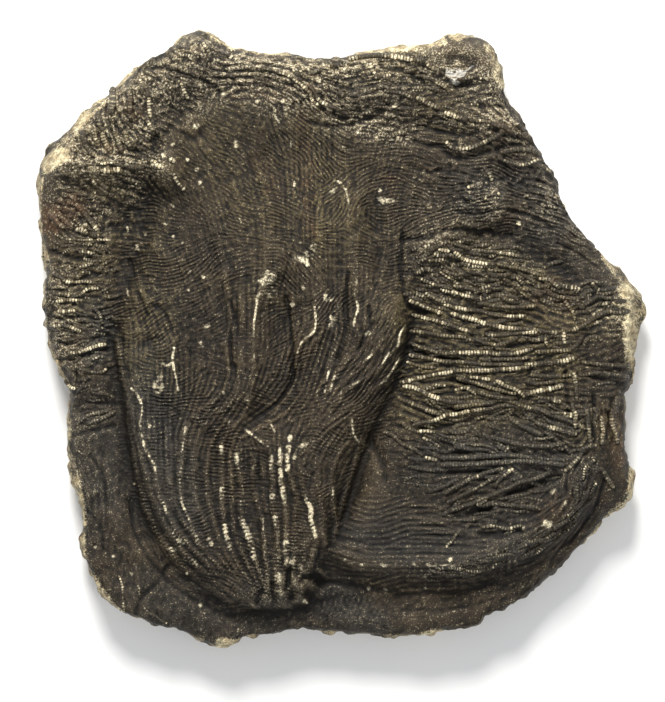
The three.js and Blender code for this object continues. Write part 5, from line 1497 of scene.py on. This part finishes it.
def strand_mesh(lines, pitch, seed, flat=0.42, sink=0.25, groove=0.86, full=True):
    """Rods of ossicles laid on the stone: spots, faces, coats."""
    rng = np.random.default_rng(seed)
    all_spots = []
    all_quads = []
    all_caps = []
    coats = []
    total = 0
    cos = np.cos(SECTION)[None, :]
    sin = np.sin(SECTION)[None, :]
    for width, bright, line in lines:
        path = round_line(line, PATH_STEP)
        path[:, 0] += 0.12 * sample(GRIT, path[:, 0], path[:, 1])
        path[:, 1] += 0.12 * sample(LUMPS, path[:, 0] + 7, path[:, 1])
        run = line_run(path)
        stations, swell, joint, tag, parts = ossicles(rng, run[-1], pitch, groove, full)
        x, y = [np.interp(stations, run, path[:, k]) for k in range(2)]
        dx, dy = [np.interp(stations, run, np.gradient(path[:, k])) for k in range(2)]
        size = np.hypot(dx, dy)
        sx = -dy / size
        sy = dx / size
        end = np.minimum(stations, run[-1] - stations)
        taper = np.sqrt(np.clip((end + 0.12) / (0.55 * width), 0, 1))
        half = width / 2 * swell * taper
        span = max(3, int(2.4 * width / pitch) * parts)
        level = rod_level(x, y, sx, sy, width, span) - sink * width / 2
        level -= (1 - taper) * 0.35 * width
        tall = flat * width * (0.35 + 0.65 * taper) * (0.5 + 0.5 * swell)
        px = x[:, None] + sx[:, None] * half[:, None] * cos
        py = y[:, None] + sy[:, None] * half[:, None] * cos
        pz = level[:, None] + tall[:, None] * sin + rng.normal(0, 0.035, px.shape)
        quads, caps = rod_faces(*px.shape, total)
        all_quads.append(quads)
        all_caps += caps
        all_spots.append(np.stack([px, py, pz], -1).reshape(-1, 3))
        total += px.size
        stops = np.arange(0, run[-1] + 9, 3.2)
        spells = np.interp(stations, stops, rng.uniform(-0.15, 1.12, len(stops)))
        coats.append(rod_coats(px, py, joint, tag, spells, bright))
        lay(path, np.interp(np.arange(len(path)) * PATH_STEP, stations, level + tall),
            width, flat)
    return np.vstack(all_spots), [np.vstack(all_quads), np.vstack(all_caps)], merge(coats)


def add_strands(name, lines, **how):
    """A piece of bone-coloured rods, drawn or strewn."""
    spots, faces, coats = strand_mesh(lines, **how)
    return build(name, spots, faces, coats, BONE)


def slim(lines, share):
    """The same strands, narrower: the drawing gives the width with their flanks."""
    return [(width * share, bright, line) for width, bright, line in lines]


def scatter(seed, count, where, lengths, width, brights, angle=GRAIN_ANGLE):
    """Short strands strewn over a zone along its grain, to fill it between the drawn ones."""
    rng = np.random.default_rng(seed)
    found = []
    for _ in range(40000):
        if len(found) == count:
            break
        x = rng.uniform(-88, 88)
        y = rng.uniform(-90, 90)
        if sample(where, x, y) < rng.uniform(0.45, 1.1) or sample(RIM_AWAY, x, y) < 1.5:
            continue
        turn = float(sample(angle, x, y)) + rng.normal(0, 0.16)
        length = rng.uniform(*lengths)
        bend = rng.normal(0, 0.05)
        line = []
        for k in np.linspace(-0.5, 0.5, 4):
            here = turn + bend * k * length
            line.append((x + math.cos(here) * k * length, y + math.sin(here) * k * length))
        found.append((width * rng.uniform(0.8, 1.25), rng.uniform(*brights) ** 1.5, line))
    return found


# ---------------------------------------------------------------------------------------------
# Stone.
# ---------------------------------------------------------------------------------------------
class Graph:
    """Short names for adding shader nodes."""

    def __init__(self, name):
        self.material = bpy.data.materials.new(name)
        self.material.use_nodes = True
        self.tree = self.material.node_tree
        self.tree.nodes.clear()
        self.place = self.add("ShaderNodeTexCoord").outputs["Object"]

    def add(self, kind, **settings):
        node = self.tree.nodes.new(kind)
        for key, value in settings.items():
            setattr(node, key, value)
        return node

    def put(self, socket, value):
        if isinstance(value, bpy.types.NodeSocket):
            self.tree.links.new(value, socket)
        else:
            socket.default_value = value

    def math(self, kind, a, b=0.0, clamp=False):
        node = self.add("ShaderNodeMath", operation=kind, use_clamp=clamp)
        self.put(node.inputs[0], a)
        self.put(node.inputs[1], b)
        return node.outputs[0]

    def times(self, a, b, clamp=False):
        return self.math("MULTIPLY", a, b, clamp)

    def plus(self, a, b):
        return self.math("ADD", a, b)

    def noise(self, size, detail=4.0, roughness=0.6):
        node = self.add("ShaderNodeTexNoise")
        self.put(node.inputs["Vector"], self.place)
        node.inputs["Scale"].default_value = 1 / (size * MM)
        node.inputs["Detail"].default_value = detail
        node.inputs["Roughness"].default_value = roughness
        return node.outputs["Fac"]

    def ramp(self, value, low, high):
        node = self.add("ShaderNodeMapRange", interpolation_type="SMOOTHSTEP")
        self.put(node.inputs["Value"], value)
        node.inputs["From Min"].default_value = low
        node.inputs["From Max"].default_value = high
        return node.outputs["Result"]

    def mix(self, share, a, b, kind="MIX"):
        node = self.add("ShaderNodeMix", data_type="RGBA", blend_type=kind)
        self.put(node.inputs["Factor"], share)
        self.put(node.inputs[6], a)
        self.put(node.inputs[7], b)
        return node.outputs[2]

    def coat(self, name):
        node = self.add("ShaderNodeAttribute", attribute_name=name)
        split = self.add("ShaderNodeSeparateColor")
        self.put(split.inputs[0], node.outputs["Color"])
        return [split.outputs[0], split.outputs[1], split.outputs[2], node.outputs["Alpha"]]


def srgb(red, green, blue):
    """A colour named by its screen values, 0 to 255."""
    def linear(v):
        v /= 255
        return v / 12.92 if v < 0.04045 else ((v + 0.055) / 1.055) ** 2.4
    return (linear(red), linear(green), linear(blue), 1)


GREY_STONE = srgb(50, 51, 50)
RUST_STAIN = srgb(76, 52, 33)
POWDER = srgb(144, 132, 108)
CRUMB = srgb(192, 182, 156)
FLECK_AND_GLINT = srgb(164, 152, 124)
BUFF_LIGHT = srgb(198, 186, 152)
BUFF_DULL = srgb(150, 134, 104)
WORN_BONE_AND_HIGHLIGHT = srgb(214, 204, 176)


def stone(name, base, base_two, bronze, cream, gloss, shine):
    """Fossil-bearing limestone; the coats add bronze, rust, dust, buff rock and worn bone, with
    painted highlight and sheen on crests and painted shade in hollows.
    """
    g = Graph(name)
    worn_and_highlight, gold, rust, buff = g.coat("coat_a")
    dark_and_shade, crest, grey, dust = g.coat("coat_b")
    broad = g.noise(14, 3)
    middle = g.noise(3.2, 4)
    fine = g.ramp(g.noise(0.95, 3, 0.65), 0.34, 0.66)
    grain = g.ramp(g.noise(0.36, 2, 0.7), 0.33, 0.67)
    fleck_and_glint = g.ramp(g.noise(0.46, 0), 0.66, 0.75)
    colour = g.mix(g.ramp(g.plus(broad, g.times(middle, 0.6)), 0.6, 1.0), base, base_two)
    colour = g.mix(g.times(grey, 0.75), colour, GREY_STONE)
    # From here on crest lightens raised places: bronze, powder, crumbs and flecks gather on it as a
    # painted sheen and highlight.
    glint = g.ramp(g.plus(g.times(crest, 0.8), g.times(fine, 0.35)), 0.1, 0.9)
    colour = g.mix(g.times(gold, glint), colour, bronze)
    stain = g.ramp(g.plus(g.times(rust, 0.7), g.times(middle, 0.7)), 0.5, 0.95)
    colour = g.mix(g.times(stain, 0.6), colour, RUST_STAIN)
    powder = g.plus(g.times(dust, 0.62), g.plus(g.times(grain, 0.5), g.times(crest, 0.62)))
    powder = g.ramp(powder, 0.8, 1.42)
    colour = g.mix(g.times(powder, 0.56), colour, POWDER)
    crumb = g.ramp(g.noise(0.62, 1), 0.55, 0.63)
    crumb = g.times(crumb, g.times(dust, g.plus(crest, 0.35)), clamp=True)
    colour = g.mix(crumb, colour, CRUMB)
    # Pale flecks: partly grains of the stone, partly painted glints.
    speckled = g.plus(g.times(crest, 0.5), g.plus(dust, 0.12))
    colour = g.mix(g.times(fleck_and_glint, speckled, clamp=True), colour, FLECK_AND_GLINT)
    buff_two = g.mix(g.ramp(middle, 0.35, 0.65), BUFF_LIGHT, BUFF_DULL)
    grains = g.plus(g.times(fine, 0.3), g.times(grain, 0.36))
    rim = g.ramp(g.plus(g.times(buff, 0.82), grains), 0.66, 1.16)
    colour = g.mix(rim, colour, buff_two)
    # Worn bone, which doubles as the painted highlight on crests.
    bone_two = g.mix(grain, cream, WORN_BONE_AND_HIGHLIGHT)
    bone_and_highlight = g.ramp(g.plus(worn_and_highlight, g.times(g.plus(fine, grain), 0.16)), 0.3, 0.95)
    colour = g.mix(bone_and_highlight, colour, bone_two)
    mottle = g.plus(g.times(fine, 0.42), g.times(grain, 0.5))
    # Painted shade: the dark coat darkens hollows, pits and rod sides; the mottle varies it at
    # random.
    shade = g.times(g.math("SUBTRACT", 1.38, g.times(dark_and_shade, 1.25)), g.plus(mottle, 0.52))
    shade = g.math("MAXIMUM", shade, 0.08)
    tint = g.add("ShaderNodeCombineColor")
    for socket in tint.inputs[:3]:
        g.put(socket, shade)
    colour = g.mix(1.0, colour, tint.outputs[0], "MULTIPLY")
    shader = g.add("ShaderNodeBsdfPrincipled")
    g.put(shader.inputs["Base Color"], colour)
    matt = g.plus(g.times(g.math("MAXIMUM", rim, bone_and_highlight), 0.25), g.times(fine, 0.2))
    g.put(shader.inputs["Roughness"], g.plus(matt, gloss))
    shader.inputs["Specular IOR Level"].default_value = shine
    bump = g.add("ShaderNodeBump")
    bump.inputs["Strength"].default_value = 0.9
    bump.inputs["Distance"].default_value = 0.2 * MM
    g.put(bump.inputs["Height"], mottle)
    g.put(shader.inputs["Normal"], bump.outputs[0])
    out = g.add("ShaderNodeOutputMaterial")
    g.put(out.inputs["Surface"], shader.outputs[0])
    return g.material


MATRIX = stone("matrix", srgb(43, 37, 29), srgb(61, 52, 39), srgb(80, 71, 46),
               srgb(166, 152, 122), 0.40, 0.2)
BONE = stone("crinoid_bone", srgb(41, 35, 26), srgb(56, 48, 34), srgb(94, 82, 52),
             srgb(172, 154, 114), 0.30, 0.3)
CRUST = stone("pale_crust", srgb(158, 153, 143), srgb(190, 186, 177), srgb(150, 144, 132),
              srgb(206, 203, 196), 0.45, 0.3)


# ---------------------------------------------------------------------------------------------
# The fossil.
# ---------------------------------------------------------------------------------------------
# Finer patches of the face: name, middle, ring of points, half the grid's points a side.
PATCHES = [patch_region(*drawn) for drawn in (
    ("fan_left", (-42, 22), [(-65, -15), (-50, -20), (-34, -19), (-24, -15), (-19, 0),
         (-18, 22), (-18, 44), (-19, 71), (-28, 72), (-44, 64), (-60, 55), (-68, 36), (-67, 20),
         (-69, 2)], 122),
    ("fan_right", (0, 28), [(-24, -12), (-10, -7), (4, 2), (16, 6), (22, 14), (26, 34),
         (25, 50), (17, 59), (6, 64), (-6, 69), (-22, 72), (-23, 44), (-22, 22), (-23, 0)], 114),
    ("crown", (-24, -40), [(-69, -10), (-66, -44), (-60, -62), (-48, -76), (-30, -84),
         (-14, -84), (0, -70), (7, -48), (12, -30), (19, -14), (22, 6), (12, 9), (2, 6),
         (-10, -2), (-24, -9), (-36, -14), (-52, -15)], 134),
    ("cirri_bed", (50, -12), [(19, 28), (34, 32), (54, 28), (68, 22), (84, 14), (86, -2),
         (85, -18), (83, -34), (77, -44), (68, -55), (52, -62), (34, -62), (20, -48), (10, -32),
         (16, -12), (19, 2), (20, 14)], 90),
    ("upper_left_bed", (-66, 56), [(-85, 27), (-85, 52), (-73, 68), (-58, 80), (-44, 87),
         (-37, 78), (-44, 64), (-56, 54), (-62, 40), (-66, 27)], 64),
    ("upper_band", (0, 72), [(-44, 79), (-30, 83), (-10, 82), (14, 83), (34, 81), (44, 79),
         (44, 63), (30, 56), (14, 56), (2, 61), (-16, 67), (-34, 66)], 62),
    ("left_bed", (-77, 4), [(-87, 28), (-72, 31), (-63, 21), (-65, 2), (-64, -12), (-66, -28),
         (-79, -28), (-81, -12), (-86, 0), (-87, 12)], 58),
    ("stem_bed", (20, -62), [(-8, -48), (10, -46), (24, -48), (36, -51), (46, -54), (49, -64),
         (48, -76), (34, -78), (18, -79), (2, -77), (-8, -70)], 46),
    ("stem_turn", (60, -58), [(42, -56), (54, -58), (64, -50), (69, -38), (72, -31), (79, -34),
         (79, -48), (74, -60), (62, -70), (44, -78), (42, -66)], 46),
    ("shoulder", (48, 46), [(20, 60), (21, 44), (24, 31), (36, 30), (52, 28), (68, 21),
         (80, 18), (78, 26), (69, 42), (62, 52), (54, 65), (48, 74), (42, 68), (30, 62)], 74),
)]
add_slab(96, MATRIX)
for patch in PATCHES:
    add_patch(*patch, MATRIX)
CRUST_SPOT = patch_region("crust", (34.2, 77.0), [
    (30.2, 78.4), (31, 79.8), (32.6, 79.2), (34.2, 79.6), (35.8, 78.9), (37.4, 79.2),
    (39.4, 80.6), (39.6, 79.4), (37.8, 77.5), (36.8, 75.6), (35.2, 74.6), (34, 73.6),
    (32.6, 74.4), (31.6, 75.6), (30.2, 76.4)], 24)
add_patch(*CRUST_SPOT, CRUST, lift=0.5)

BORDER_ZONE = paint(np.zeros(SHAPE), [(1.0, 2.8, BORDER)])
STREWN = {"flat": 0.42, "full": False}
add_strands("cirri_fill",
            scatter(91, 180, IN_CIRRI * smooth_step(16, 22, GX), (4, 13), 1.5, (0.05, 0.5)),
            pitch=0.95, seed=10, sink=0.5, **STREWN)
add_strands("cirri_crumbs",
            scatter(93, 110, IN_CIRRI * smooth_step(4, 10, GY), (2, 6), 1.7, (0.4, 1.15)),
            pitch=0.9, seed=12, sink=0.3, **STREWN)
add_strands("cirri_strands", slim(CIRRI, 0.74), pitch=0.92, seed=7, sink=0.1, flat=0.5)
add_strands("stem_border",
            scatter(94, 120, BORDER_ZONE, (1.5, 6), 1.1, (0.1, 0.9), STEM_ANGLE),
            pitch=0.8, seed=13, sink=0.4, **STREWN)
add_strands("upper_fill",
            scatter(92, 260, np.clip(IN_UPPER + IN_LEFT, 0, 1), (1.2, 4.5), 1.1, (0.1, 0.9)),
            pitch=0.85, seed=11, sink=0.4, **STREWN)
add_strands("upper_fragments", slim(UPPER_STRANDS, 0.95), pitch=0.95, seed=8, sink=0.1)
add_strands("left_fragments", slim(LEFT_STRANDS, 0.9), pitch=0.85, seed=9, sink=0.1)

# ---------------------------------------------------------------------------------------------
# Floor, light and camera.
# ---------------------------------------------------------------------------------------------
floor_mesh = bpy.data.meshes.new("floor")
corners = [(x, y, FLOOR * MM) for x, y in ((-3, -3), (3, -3), (3, 3), (-3, 3))]
floor_mesh.from_pydata(corners, [], [(0, 1, 2, 3)])
floor = bpy.data.objects.new("floor", floor_mesh)
bpy.context.scene.collection.objects.link(floor)
paper = bpy.data.materials.new("paper")
paper.use_nodes = True
paper_shader = paper.node_tree.nodes["Principled BSDF"]
paper_shader.inputs["Base Color"].default_value = (0.9, 0.9, 0.89, 1)
paper_shader.inputs["Roughness"].default_value = 0.9
floor_mesh.materials.append(paper)


def lamp(name, place, size, power, tint=(1, 1, 1)):
    """A round area light in metres and watts, aimed at the slab."""
    data = bpy.data.lights.new(name, "AREA")
    data.shape = "DISK"
    data.size = size
    data.energy = power
    data.color = tint
    light = bpy.data.objects.new(name, data)
    light.location = place
    bpy.context.scene.collection.objects.link(light)
    light.rotation_euler = light.location.to_track_quat("Z", "Y").to_euler()


lamp("window", (-0.12, 0.75, 0.62), 0.35, 15.0, (1.0, 0.98, 0.95))
lamp("fill", (0.3, -0.5, 0.9), 0.9, 3.0)
world = bpy.data.worlds.new("room")
world.use_nodes = True
sky = world.node_tree.nodes["Background"]
sky.inputs["Color"].default_value = (0.95, 0.97, 1.0, 1)
sky.inputs["Strength"].default_value = 0.5
bpy.context.scene.world = world
bpy.context.scene.view_settings.view_transform = "Standard"

camera_data = bpy.data.cameras.new("camera")
camera_data.lens = 155.0
camera_data.sensor_width = 36
camera_data.clip_start = 0.05
camera = bpy.data.objects.new("camera", camera_data)
camera.location = (-2.5 * MM, -4.1 * MM, 0.915)
bpy.context.scene.collection.objects.link(camera)
bpy.context.scene.camera = camera
